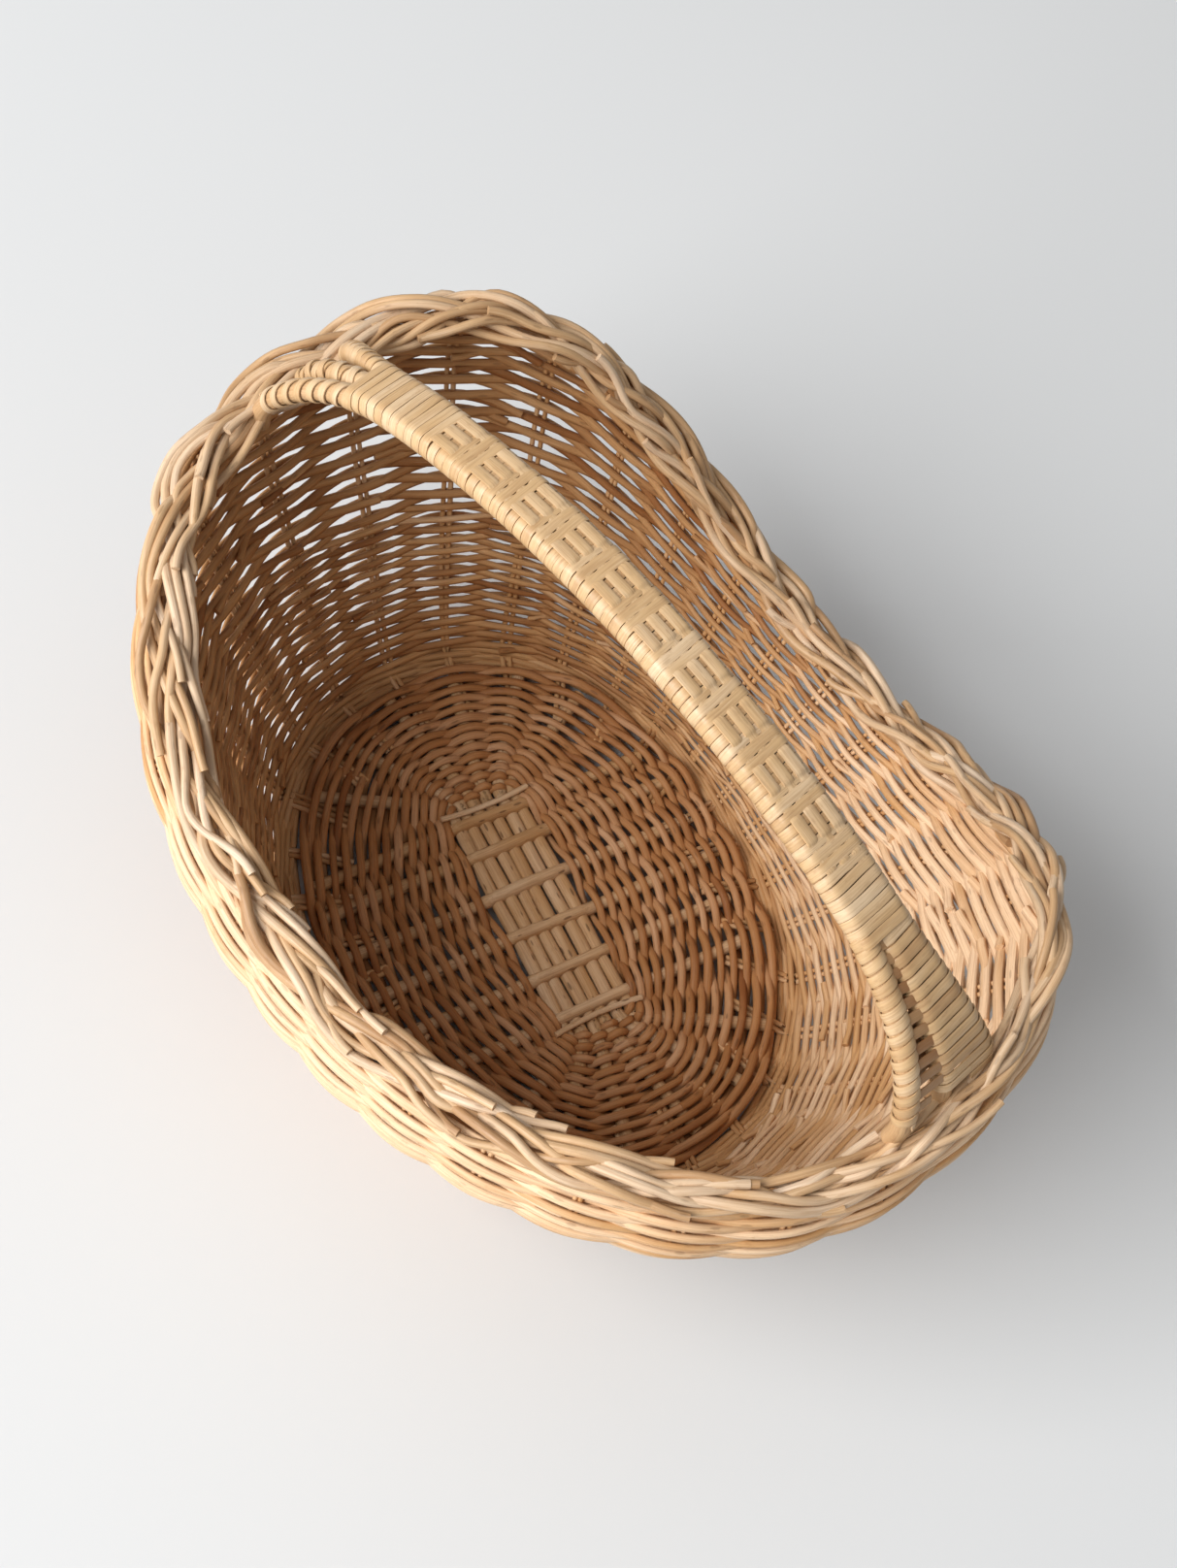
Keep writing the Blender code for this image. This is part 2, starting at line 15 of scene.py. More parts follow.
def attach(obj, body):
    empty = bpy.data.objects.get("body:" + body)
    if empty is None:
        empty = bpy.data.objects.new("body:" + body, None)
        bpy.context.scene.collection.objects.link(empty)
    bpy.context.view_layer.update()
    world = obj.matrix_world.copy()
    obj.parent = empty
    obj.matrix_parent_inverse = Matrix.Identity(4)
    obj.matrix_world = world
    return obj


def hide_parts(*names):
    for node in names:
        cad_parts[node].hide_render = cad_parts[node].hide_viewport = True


bl_info = {
    "name": "Willow market basket",
    "version": (1, 0, 0),
    "blender": (4, 5, 0),
    "location": "View3D > Sidebar > Basket",
    "description": "Weaves an oval willow basket with a bow handle over its CAD frame",
    "category": "Object",
}

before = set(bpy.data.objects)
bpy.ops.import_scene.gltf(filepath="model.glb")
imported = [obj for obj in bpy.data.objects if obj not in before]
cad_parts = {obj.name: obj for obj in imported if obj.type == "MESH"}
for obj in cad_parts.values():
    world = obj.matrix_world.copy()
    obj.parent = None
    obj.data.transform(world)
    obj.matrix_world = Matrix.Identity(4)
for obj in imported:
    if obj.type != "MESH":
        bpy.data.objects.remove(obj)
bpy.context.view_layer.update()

# ------------------------------------------------------------ shape of the basket

# base, an oval in its own turned axes
BASE_CENTRE = np.array((0.0082, 0.0026, 0.0))
BASE_TURN = math.radians(-13.4)
BASE_HALF_LENGTH = 0.1354
BASE_HALF_WIDTH = 0.1052
BASE_ROUNDNESS = 2.23
BASE_MID_HEIGHT = 0.0085
CROSS_STICK_PITCH = 0.0228
CROSS_STICK_SHIFT = -0.0043
FIRST_STICK_SHIFT = 0.0058
STICK_COUNT = 6  # cross sticks, and long sticks through them
LONG_STICK_PITCH = 0.0068
LONG_STICK_SPREAD = math.radians(62)
FAN_BEND = 0.016  # length over which a long stick turns into its fan direction
STICK_END_GAP = 0.002  # sticks stop this far inside the base edge
WINDOW_HALF_WIDTH = 0.0206  # bare middle of the base, between the inner rows

# border, by its centre line
RIM_CENTRE = np.array((-0.0014, -0.0004, 0.0))
RIM_TURN = math.radians(-0.9)
RIM_HALF_LENGTH = 0.2115
RIM_HALF_WIDTH = 0.1530
RIM_ROUNDNESS = 2.2
RIM_HEIGHT = 0.1815
RIM_SADDLE = 0.0300
RIM_SADDLE_SHARPNESS = -0.0125
RIM_FAR_SIDE_DIP = 0.0128
RIM_SKEW = 0.0035

# wall, from the foot up to the border
WALL_FOOT_HEIGHT = 0.0035
WALL_FOOT_OUT = 0.0050
WALL_FLARE = 0.55
WALL_BELLY = 0.0190
WALL_BELLY_RISE = 2.6
BORDER_UNDERSIDE = 0.0085  # from the border's centre line down to the last row

# bow of the handle
HANDLE_HALF_SPAN = 0.2025
HANDLE_APEX = 0.2814
HANDLE_ROUNDNESS = 1.91
HANDLE_FOOT = RIM_HEIGHT + RIM_SADDLE + RIM_SADDLE_SHARPNESS
HANDLE_ROD_RADIUS = 0.0041
HANDLE_ROD_PITCH = 0.0086
HANDLE_LEG_PITCH = 0.0240
HANDLE_FAN_STARTS = (0.55, 0.44)  # where the rods begin to part, at the far end and at the near one

TURN = 2 * math.pi
UP = np.array((0.0, 0.0, 1.0))

RIM_SAMPLES = 4001
WALL_DIRECTIONS = np.linspace(0, TURN, 721)
WALL_RISES = np.linspace(0, 1, 401) ** 1.5  # crowded near the foot, where the wall bends most
WALL_SHARES = np.linspace(0, 1, 241)


def smooth(value):
    """0 below 0, 1 above 1 and an even ramp between."""
    share = np.clip(value, 0.0, 1.0)
    return share * share * (3 - 2 * share)


def wavy(amount, phase):
    """A factor that sways by an amount either side of 1."""
    return 1 + amount * np.sin(phase)


def superellipse_radius(angle, half_length, half_width, roundness):
    across = (np.abs(np.cos(angle)) / half_length) ** roundness
    up = (np.abs(np.sin(angle)) / half_width) ** roundness
    return (across + up) ** (-1 / roundness)


def turned(points, angle):
    """Points turned about the vertical axis."""
    cosine, sine = math.cos(angle), math.sin(angle)
    x, y, z = points[..., 0], points[..., 1], points[..., 2]
    return np.stack((x * cosine - y * sine, x * sine + y * cosine, z), axis=-1)


def run_along(points):
    """Length along a line of points, at each of them."""
    steps = np.linalg.norm(np.diff(points, axis=0), axis=1)
    return np.concatenate(((0.0,), np.cumsum(steps)))


def base_to_world(points):
    return turned(points, BASE_TURN) + BASE_CENTRE


def base_outline(angle):
    """Base outline in the base's own axes, as a distance from the base centre."""
    return superellipse_radius(angle, BASE_HALF_LENGTH, BASE_HALF_WIDTH, BASE_ROUNDNESS)


def rim_point(turn):
    """Centre line of the border, for a turn of 0 to 2 pi from the +X end."""
    power = 2 / RIM_ROUNDNESS
    cosine, sine = np.cos(turn), np.sin(turn)
    x = RIM_HALF_LENGTH * np.sign(cosine) * np.abs(cosine) ** power
    y = RIM_HALF_WIDTH * np.sign(sine) * np.abs(sine) ** power
    z = RIM_HEIGHT + RIM_SADDLE * np.cos(2 * turn) + RIM_SADDLE_SHARPNESS * np.cos(4 * turn)
    z = z + RIM_FAR_SIDE_DIP * np.sin(3 * turn) + RIM_SKEW * np.sin(4 * turn)
    return turned(np.stack((x, y, z), axis=-1), RIM_TURN) + RIM_CENTRE


@lru_cache(maxsize=None)
def wall_table():
    """Radius and height of the wall by direction and by share of its own length, foot 0, last row 1."""
    rim = rim_point(np.linspace(0, TURN, RIM_SAMPLES))
    x, y = rim[:, 0] - BASE_CENTRE[0], rim[:, 1] - BASE_CENTRE[1]
    seen, spread = np.unwrap(np.arctan2(y, x)), np.hypot(x, y)
    rim_radius = np.interp(WALL_DIRECTIONS, seen[:-1], spread[:-1], period=TURN)[:, None]
    rim_height = np.interp(WALL_DIRECTIONS, seen[:-1], rim[:-1, 2], period=TURN)[:, None]
    rise = WALL_RISES[None, :]
    share = rise**WALL_FLARE
    foot_radius = (base_outline(WALL_DIRECTIONS - BASE_TURN) + WALL_FOOT_OUT)[:, None]
    radius = foot_radius * (1 - share) + rim_radius * share
    radius = radius + WALL_BELLY * np.sin(math.pi * rise**WALL_BELLY_RISE)
    height = WALL_FOOT_HEIGHT * (1 - rise) + rim_height * rise
    steps = np.hypot(np.diff(radius, axis=1), np.diff(height, axis=1))
    run = np.concatenate((np.zeros((len(radius), 1)), np.cumsum(steps, axis=1)), axis=1)
    top = run[:, -1] - BORDER_UNDERSIDE
    radii = np.array([np.interp(WALL_SHARES * t, n, r) for t, n, r in zip(top, run, radius)])
    heights = np.array([np.interp(WALL_SHARES * t, n, h) for t, n, h in zip(top, run, height)])
    return radii, heights, top


def table_lookup(table, angle, share):
    """Bilinear reading of a wall table."""
    column = np.mod(angle, TURN) / TURN * (table.shape[0] - 1)
    row = np.clip(share, 0.0, 1.0) * (table.shape[1] - 1)
    i = np.minimum(column.astype(int), table.shape[0] - 2)
    j = np.minimum(row.astype(int), table.shape[1] - 2)
    u, v = column - i, row - j
    low = table[i, j] * (1 - u) + table[i + 1, j] * u
    high = table[i, j + 1] * (1 - u) + table[i + 1, j + 1] * u
    return low * (1 - v) + high * v


def wall_length(angle):
    """Length of the wall from its foot to the last row, in each direction."""
    return np.interp(np.mod(angle, TURN), WALL_DIRECTIONS, wall_table()[2])


def wall_at(angle, share, offset=0.0):
    """Points at a distance outside the wall's middle surface, and the surface normals there."""
    radii, heights, _ = wall_table()
    angle, share = np.broadcast_arrays(np.asarray(angle, float), np.asarray(share, float))
    span = 0.012  # share over which the slope is read
    low, high = np.clip(share - span, 0, 1 - 2 * span), np.clip(share + span, 2 * span, 1)
    run = table_lookup(radii, angle, high) - table_lookup(radii, angle, low)
    climb = table_lookup(heights, angle, high) - table_lookup(heights, angle, low)
    size = np.hypot(run, climb)
    beyond = (np.minimum(share, 0) + np.maximum(share - 1, 0)) * wall_length(angle)
    radius = table_lookup(radii, angle, share) + offset * climb / size + beyond * run / size
    height = table_lookup(heights, angle, share) - offset * run / size + beyond * climb / size
    height = np.where(share < 0, table_lookup(heights, angle, share) + beyond, height)
    points = np.stack((radius * np.cos(angle), radius * np.sin(angle), height), axis=-1)
    normal = np.stack((climb * np.cos(angle), climb * np.sin(angle), -run), axis=-1)
    return points + BASE_CENTRE, normal / size[..., None]


def handle_point(share, lateral=0.0, lift=0.0):
    """A point of the bow. share runs from -1 to 1 over the span, lift is square to the bow."""
    share = np.asarray(share, float)

    def centre(s):
        reach = np.sin(s * math.pi / 2)
        drop = (1 - np.minimum(np.abs(reach), 1.0) ** HANDLE_ROUNDNESS) ** (1 / HANDLE_ROUNDNESS)
        z = HANDLE_FOOT + (HANDLE_APEX - HANDLE_FOOT) * drop
        return np.stack((HANDLE_HALF_SPAN * reach, np.zeros_like(s), z), axis=-1)

    step = 0.004
    along = centre(np.minimum(share + step, 1.0)) - centre(np.maximum(share - step, -1.0))
    along /= np.linalg.norm(along, axis=-1)[..., None]
    up = np.stack((-along[..., 2], np.zeros_like(share), along[..., 0]), axis=-1)
    lateral, lift = np.broadcast_to(lateral, share.shape), np.broadcast_to(lift, share.shape)
    side = np.array((0.0, 1.0, 0.0))
    return RIM_CENTRE + centre(share) + up * lift[..., None] + side * lateral[..., None]


def rod_lateral(rod, share):
    """Sideways place of a bow rod: -1, 0 or 1, or a place between two of them."""
    first = np.where(np.asarray(share) < 0, *HANDLE_FAN_STARTS)
    fan = smooth((np.abs(share) - first) / (1 - first))
    return rod * (HANDLE_ROD_PITCH + (HANDLE_LEG_PITCH - HANDLE_ROD_PITCH) * fan)


# ------------------------------------------------------------ rods as meshes


def link(obj):
    bpy.context.scene.collection.objects.link(obj)


def unit(vectors):
    return vectors / np.maximum(np.linalg.norm(vectors, axis=-1), 1e-12)[..., None]


GRAIN_SPREAD = 9.0  # each rod's grain starts at its own place within this many metres
SHARP_ANGLE = math.radians(75)  # cut ends stay crisp, rods round
CURVE_STEPS = 12  # between two points of a smoothed path


class Rods:
    """Collects rods, strips and wraps into one mesh, with the grain of each along its length."""

    def __init__(self, seed):
        self.random = np.random.default_rng(seed)
        self.points, self.grain, self.tones, self.quads, self.caps = [], [], [], [], []
        self.count = 0

    def add(self, path, up, half_width, half_height, sides, tone, squareness=2.0):
        """One rod: path points, the direction of its half height, and its half sizes along it."""
        path = np.asarray(path, float)
        size = len(path)
        along = unit(np.gradient(path, axis=0))
        up = np.broadcast_to(up, path.shape)
        up = unit(up - along * np.sum(up * along, axis=1)[:, None])
        side = np.cross(along, up)
        angle = TURN * (np.arange(sides) + 0.5) / sides
        across = np.sign(np.cos(angle)) * np.abs(np.cos(angle)) ** (2 / squareness)
        high = np.sign(np.sin(angle)) * np.abs(np.sin(angle)) ** (2 / squareness)
        wide = np.broadcast_to(half_width, size)[:, None, None] * across[None, :, None]
        tall = np.broadcast_to(half_height, size)[:, None, None] * high[None, :, None]
        rings = path[:, None] + side[:, None] * wide + up[:, None] * tall
        grain = np.empty((size, sides, 3))
        start = self.random.uniform(0, GRAIN_SPREAD, 3)
        grain[..., 0] = wide[..., 0] + start[0]
        grain[..., 1] = tall[..., 0] + start[1]
        grain[..., 2] = run_along(path)[:, None] + start[2]
        index = np.arange(size * sides).reshape(size, sides) + self.count
        following = np.roll(index, -1, axis=1)
        quads = np.stack((index[:-1], following[:-1], following[1:], index[1:]), axis=-1)
        self.points.append(rings.reshape(-1, 3))
        self.grain.append(grain.reshape(-1, 3))
        self.tones.append(np.repeat(np.broadcast_to(tone, size), sides))
        self.quads.append(quads.reshape(-1, 4))
        self.caps += [index[0][::-1].tolist(), index[-1].tolist()]
        self.count += size * sides

    def build(self, name, material):
        """The collected rods as one object of the basket."""
        faces = np.concatenate(self.quads).tolist() + self.caps
        mesh = bpy.data.meshes.new(name)
        mesh.from_pydata(np.concatenate(self.points).tolist(), [], faces)
        grain = mesh.attributes.new("grain", "FLOAT_VECTOR", "POINT")
        grain.data.foreach_set("vector", np.concatenate(self.grain).ravel())
        tone = mesh.attributes.new("tone", "FLOAT", "POINT")
        tone.data.foreach_set("value", np.concatenate(self.tones))
        mesh.materials.append(material)
        mesh.shade_smooth()
        mesh.set_sharp_from_angle(angle=SHARP_ANGLE)
        obj = bpy.data.objects.new(name, mesh)
        link(obj)
        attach(obj, "root")
        return obj


def resampled(path, count):
    """Evenly spaced points on a smooth curve through the path."""
    path = np.asarray(path, float)
    ghosts = np.vstack((2 * path[0] - path[1], path, 2 * path[-1] - path[-2]))
    parts = []
    for i in range(len(path) - 1):
        a, b, c, d = ghosts[i : i + 4]
        t = np.linspace(0, 1, CURVE_STEPS, endpoint=False)[:, None]
        bend = 2 * a - 5 * b + 4 * c - d
        parts.append(0.5 * (2 * b + (c - a) * t + bend * t**2 + (3 * b - a - 3 * c + d) * t**3))
    dense = np.vstack((*parts, path[-1:]))
    run = run_along(dense)
    marks = np.linspace(0, run[-1], count)
    return np.stack([np.interp(marks, run, dense[:, k]) for k in range(3)], axis=-1)


# ------------------------------------------------------------ willow finishes


# scales across, across and along a rod, per metre
PATCH_SCALE = (110, 110, 24)
STREAK_SCALE = (1500, 1500, 45)
FIBRE_SCALE = (4200, 4200, 90)
BLOTCH_SCALE = (420, 420, 160)
SPECK_SCALE = (260, 260, 70)
SPECK_COLOUR = (0.11, 0.05, 0.022, 1.0)
RELIEF_DEPTH = 0.0004
COAT_ROUGHNESS = 0.35
DARK_TINT = (0.50, 0.355, 0.26)  # a finish's darkest and palest skin, from its middle colour
PALE_TINT = (1.34, 1.68, 2.45)
PALE_LIFT = 0.02


def new_socket(group, name, kind, default=None, out=False):
    socket = group.interface.new_socket(
        name=name, in_out="OUTPUT" if out else "INPUT", socket_type="NodeSocket" + kind
    )
    if default is not None:
        socket.default_value = default


def willow_group():
    """Node group: skin of a peeled willow rod, from its grain coordinates and its own tone."""
    found = bpy.data.node_groups.get("Willow skin")
    if found:
        return found
    group = bpy.data.node_groups.new("Willow skin", "ShaderNodeTree")
    new_socket(group, "Grain", "Vector")
    new_socket(group, "Tone", "Float", 0.5)
    new_socket(group, "Dark", "Color", (0.2, 0.1, 0.04, 1))
    new_socket(group, "Middle", "Color", (0.5, 0.3, 0.13, 1))
    new_socket(group, "Pale", "Color", (0.7, 0.5, 0.28, 1))
    new_socket(group, "Variation", "Float", 0.5)
    new_socket(group, "Specks", "Float", 0.5)
    new_socket(group, "Roughness", "Float", 0.5)
    new_socket(group, "Colour", "Color", out=True)
    new_socket(group, "Roughness", "Float", out=True)
    new_socket(group, "Height", "Float", out=True)
    nodes, links = group.nodes, group.links
    given = nodes.new("NodeGroupInput")
    result = nodes.new("NodeGroupOutput")

    def feed(socket, value):
        if isinstance(value, (int, float, tuple)):
            socket.default_value = value
        else:
            links.new(value, socket)

    def stretched(scale):
        node = nodes.new("ShaderNodeVectorMath")
        node.operation = "MULTIPLY"
        node.inputs[1].default_value = scale
        links.new(given.outputs["Grain"], node.inputs[0])
        return node.outputs[0]

    def noise(scale, detail, roughness=0.5):
        node = nodes.new("ShaderNodeTexNoise")
        node.inputs["Scale"].default_value = 1.0
        node.inputs["Detail"].default_value = detail
        node.inputs["Roughness"].default_value = roughness
        links.new(stretched(scale), node.inputs["Vector"])
        return node.outputs["Fac"]

    def maths(operation, first, second, clamp=False):
        node = nodes.new("ShaderNodeMath")
        node.operation = operation
        node.use_clamp = clamp
        feed(node.inputs[0], first)
        feed(node.inputs[1], second)
        return node.outputs[0]

    def ramp(value, low, high, start=0.0, end=1.0):
        node = nodes.new("ShaderNodeMapRange")
        node.interpolation_type = "SMOOTHSTEP"
        links.new(value, node.inputs["Value"])
        numbers = {"From Min": low, "From Max": high, "To Min": start, "To Max": end}
        for name, number in numbers.items():
            node.inputs[name].default_value = number
        return node.outputs["Result"]

    def mixed(fac, first, second):
        node = nodes.new("ShaderNodeMix")
        node.data_type = "RGBA"
        for index, value in ((0, fac), (6, first), (7, second)):
            feed(node.inputs[index], value)
        return node.outputs[2]

    patches = noise(PATCH_SCALE, 3)
    streaks = noise(STREAK_SCALE, 3, 0.6)
    fibres = noise(FIBRE_SCALE, 2)
    blotches = noise(BLOTCH_SCALE, 4, 0.65)
    swing = maths("MULTIPLY", maths("SUBTRACT", patches, 0.5), 1.6)
    level = maths("ADD", given.outputs["Tone"], maths("MULTIPLY", swing, given.outputs["Variation"]), True)
    lower = mixed(maths("MULTIPLY", level, 2.0, True), given.outputs["Dark"], given.outputs["Middle"])
    upper = maths("SUBTRACT", maths("MULTIPLY", level, 2.0), 1.0, True)
    skin = mixed(upper, lower, given.outputs["Pale"])
    skin = mixed(ramp(streaks, 0.42, 0.66, 0.0, 0.34), skin, given.outputs["Dark"])
    skin = mixed(ramp(fibres, 0.56, 0.8, 0.0, 0.3), skin, given.outputs["Pale"])
    skin = mixed(ramp(blotches, 0.57, 0.78, 0.0, 0.38), skin, given.outputs["Dark"])
    speck = nodes.new("ShaderNodeTexVoronoi")
    speck.inputs["Scale"].default_value = 1.0
    links.new(stretched(SPECK_SCALE), speck.inputs["Vector"])
    spot = maths("MULTIPLY", ramp(speck.outputs["Distance"], 0.12, 0.2, 1.0, 0.0), given.outputs["Specks"])
    skin = mixed(spot, skin, SPECK_COLOUR)
    links.new(skin, result.inputs["Colour"])
    gloss = maths("ADD", given.outputs["Roughness"], ramp(blotches, 0.35, 0.7, -0.07, 0.14), True)
    links.new(gloss, result.inputs["Roughness"])
    height = maths("ADD", maths("MULTIPLY", streaks, 0.7), maths("MULTIPLY", fibres, 0.3))
    links.new(maths("SUBTRACT", height, maths("MULTIPLY", spot, 0.8)), result.inputs["Height"])
    return group


def attribute(nodes, name):
    node = nodes.new("ShaderNodeAttribute")
    node.attribute_name = name
    return node


# ------------------------------------------------------------ sizes and colours to change


def length(description, default):
    return FloatProperty(
        name=description.split(",")[0], description=description, default=default, unit="LENGTH", precision=4
    )


def colour(description, default):
    return FloatVectorProperty(
        name=description, description=description, default=default, subtype="COLOR", size=3, min=0, max=1
    )


def count(description, default):
    return IntProperty(name=description, description=description, default=default, min=1)


class BasketWeave(bpy.types.PropertyGroup):
    """Rods of the base and of the wall."""

    base_rows: count("Rows of weave in the base", 26)
    base_rod_width: length("Base rod width, across the rod", 0.0042)
    stakes: count("Stake pairs round the wall", 30)
    stake_rod_width: length("Stake rod width, across one rod of a group", 0.0026)
    open_rows: count("Rows of open weave in the wall", 27)
    open_rod_width: length("Open weave rod width, across the rod", 0.0066)
    dense_rows: count("Rows of close weave below them", 28)
    dense_rod_width: length("Close weave rod width, across the rod", 0.0050)
    wale_rows: count("Rows of three-rod wale at the foot", 3)
    opening: FloatProperty(
        name="Opening", description="How far rows part beside the stakes", default=0.8, min=0, max=1
    )


class BasketBorder(bpy.types.PropertyGroup):
    """The plaited border."""

    rods: count("Rods in the border", 60)
    rod_width: length("Border rod width, across the rod", 0.0046)
    plaits: count("Repeats of the plait round the rim", 8)
    swing: length("Plait swing, sideways from its middle", 0.0066)
    rise: length("Plait rise, above and below its middle", 0.0031)


class BasketHandle(bpy.types.PropertyGroup):
    """The bound bow handle."""

    wrap_width: length("Wrap width, across the flat cane", 0.0047)
    wrap_thickness: length("Wrap thickness, through the flat cane", 0.0009)
    strip_width: length("Strip width, across a lengthwise strip", 0.0053)
    strip_pitch: length("Strip pitch, between lengthwise strips", 0.0070)
    repeats: count("Repeats of the handle pattern", 10)


class BasketColours(bpy.types.PropertyGroup):
    """Colours of the willow."""

    stick: colour("Base sticks", (0.50, 0.29, 0.13))
    # set darker and browner than the wall weave, as painted shade for the shaded floor inside the basket
    base: colour("Base weave", (0.43, 0.20, 0.074))
    wall: colour("Wall weave", (0.60, 0.34, 0.148))
    border: colour("Border", (0.57, 0.365, 0.19))
    handle: colour("Handle cane", (0.60, 0.395, 0.20))
    floor: colour("Floor", (0.695, 0.709, 0.722))


FINISHES = {  # colour, variation, specks, roughness, relief, coat, gloss
    "Stick willow": ("stick", 0.45, 0.7, 0.5, 0.7, 0.0, 0.25),
    "Base willow": ("base", 0.55, 0.45, 0.55, 0.6, 0.0, 0.25),
    "Stake willow": ("wall", 0.5, 0.3, 0.55, 0.5, 0.0, 0.25),
    "Wall willow": ("wall", 0.5, 0.3, 0.52, 0.5, 0.0, 0.25),
    "Border willow": ("border", 0.45, 0.3, 0.46, 0.5, 0.0, 0.45),
    "Bow willow": ("border", 0.4, 0.3, 0.5, 0.5, 0.0, 0.25),
    "Handle cane": ("handle", 0.35, 0.12, 0.42, 0.4, 0.1, 0.5),
}


def colour_of(field):
    return np.array(getattr(bpy.context.scene.basket_colours, field))


def finish(name):
    """A finish's material, made once: the shared skin in its own colours, into its own shader."""
    found = bpy.data.materials.get(name)
    if found:
        return found
    field, variation, specks, roughness, bump, coat, gloss = FINISHES[name]
    middle = colour_of(field)
    pale = np.minimum(middle * PALE_TINT + PALE_LIFT, 1)
    material = bpy.data.materials.new(name)
    material.use_nodes = True
    nodes, links = material.node_tree.nodes, material.node_tree.links
    shader = nodes["Principled BSDF"]
    skin = nodes.new("ShaderNodeGroup")
    skin.node_tree = willow_group()
    for socket, shade in (("Dark", middle * DARK_TINT), ("Middle", middle), ("Pale", pale)):
        skin.inputs[socket].default_value = (*shade, 1.0)
    skin.inputs["Variation"].default_value = variation
    skin.inputs["Specks"].default_value = specks
    skin.inputs["Roughness"].default_value = roughness
    links.new(attribute(nodes, "grain").outputs["Vector"], skin.inputs["Grain"])
    links.new(attribute(nodes, "tone").outputs["Fac"], skin.inputs["Tone"])
    relief = nodes.new("ShaderNodeBump")
    relief.inputs["Strength"].default_value = bump
    relief.inputs["Distance"].default_value = RELIEF_DEPTH
    links.new(skin.outputs["Height"], relief.inputs["Height"])
    links.new(relief.outputs["Normal"], shader.inputs["Normal"])
    links.new(skin.outputs["Colour"], shader.inputs["Base Color"])
    links.new(skin.outputs["Roughness"], shader.inputs["Roughness"])
    shader.inputs["Specular IOR Level"].default_value = gloss
    shader.inputs["Coat Weight"].default_value = coat
    shader.inputs["Coat Roughness"].default_value = COAT_ROUGHNESS
    return material


# ------------------------------------------------------------ base

CROSS_STICK_RADIUS = 0.00335
EYE_RISE = 0.0024  # extra half height where a cross stick opens round the long sticks
EYE_EDGE = 0.008
LONG_STICK_RADIUS = 0.0033
LONG_STICK_FLATNESS = 0.85
END_ROD_HALF_LENGTH = 0.024
END_ROD_GAP = 0.0052  # from the axis of the last cross stick
END_ROD_BOW = 0.0016
END_ROD_LIFT = 0.0038
END_ROD_HALF_SIZES = (0.0015, 0.0013)
INNER_ROW_HALF_LENGTH = 0.0655
INNER_ROW_GAP = 0.0018
INNER_ROW_SQUARENESS = 5.0
ROWS_REACH = 1.03  # the last row, past the base edge
BASE_SAMPLES = 6  # path points from one spoke to the next
PAIRING_LIFT = 0.0037  # how far the base rods rise and dip at the sticks
BASE_ROD_FLATNESS = 0.86
BASE_UNDERSIDE = 0.0019  # lowest height of a base rod's middle


def cross_stick_position(index):
    """Place of a cross stick's axis along the base."""
    position = CROSS_STICK_SHIFT + (index - (STICK_COUNT - 1) / 2) * CROSS_STICK_PITCH
    return position + (FIRST_STICK_SHIFT if index == 0 else 0.0)


def cross_stick_path(index, sign):
    """One half of a cross stick, from the middle of the base to its edge."""
    x = cross_stick_position(index)
    reach = BASE_HALF_WIDTH * (1 - (abs(x) / BASE_HALF_LENGTH) ** BASE_ROUNDNESS) ** (1 / BASE_ROUNDNESS)
    y = np.linspace(0, sign * (reach - STICK_END_GAP), 60)
    return np.stack((np.full_like(y, x), y, np.full_like(y, BASE_MID_HEIGHT)), axis=-1)


def long_stick_path(index, sign):
    """One end of a long stick: it leaves the last cross stick and turns into its fan direction."""
    offset = index - (STICK_COUNT - 1) / 2
    spread = LONG_STICK_SPREAD * offset / ((STICK_COUNT - 1) / 2)
    last = cross_stick_position(STICK_COUNT - 1 if sign > 0 else 0)
    heading = spread * smooth(np.linspace(0, 1, 17))
    steps = np.stack((sign * np.cos(heading), np.sin(heading), np.zeros_like(heading)), axis=-1)
    start = np.array((last + sign * 0.004, offset * LONG_STICK_PITCH, BASE_MID_HEIGHT))
    path = [start]
    for step in steps:
        path.append(path[-1] + step * FAN_BEND / len(steps))
    while True:
        ahead = path[-1] + steps[-1] * 0.002
        edge = base_outline(math.atan2(ahead[1], ahead[0]))
        if math.hypot(ahead[0], ahead[1]) > edge - STICK_END_GAP:
            return np.array(path)
        path.append(ahead)


def row_radius(angle, share):
    """A row of base weave: 0 hugs the bare window, 1 is the base edge, in the base's own axes."""
    middle = (cross_stick_position(0) + cross_stick_position(STICK_COUNT - 1)) / 2
    half_width = WINDOW_HALF_WIDTH + INNER_ROW_GAP
    inner = superellipse_radius(angle, INNER_ROW_HALF_LENGTH, half_width, INNER_ROW_SQUARENESS)
    inner = inner + middle * np.cos(angle) * smooth(np.abs(np.cos(angle)) * 1.6)
    return inner + (base_outline(angle) - inner) * share


@lru_cache(maxsize=None)
def spoke_crossings():
    """For each spoke, its direction from the base centre by share of the way out."""
    spokes = [cross_stick_path(i, sign) for i in range(STICK_COUNT) for sign in (1, -1)]
    spokes += [long_stick_path(i, sign) for i in range(STICK_COUNT) for sign in (1, -1)]
    shares = np.linspace(0, 1, 101)
    found = []
    for spoke in spokes:
        angle = np.unwrap(np.arctan2(spoke[:, 1], spoke[:, 0]))
        radius = np.hypot(spoke[:, 0], spoke[:, 1])
        inner, outer = row_radius(angle, 0.0), row_radius(angle, 1.0)
        share = (radius - inner) / (outer - inner)
        order = np.argsort(share)
        found.append(np.interp(shares, share[order], angle[order]))
    found = np.array(found)
    found = np.mod(found - found[:, -1:] + math.pi, TURN) - math.pi + np.mod(found[:, -1:], TURN)
    return shares, found[np.argsort(found[:, -1])]


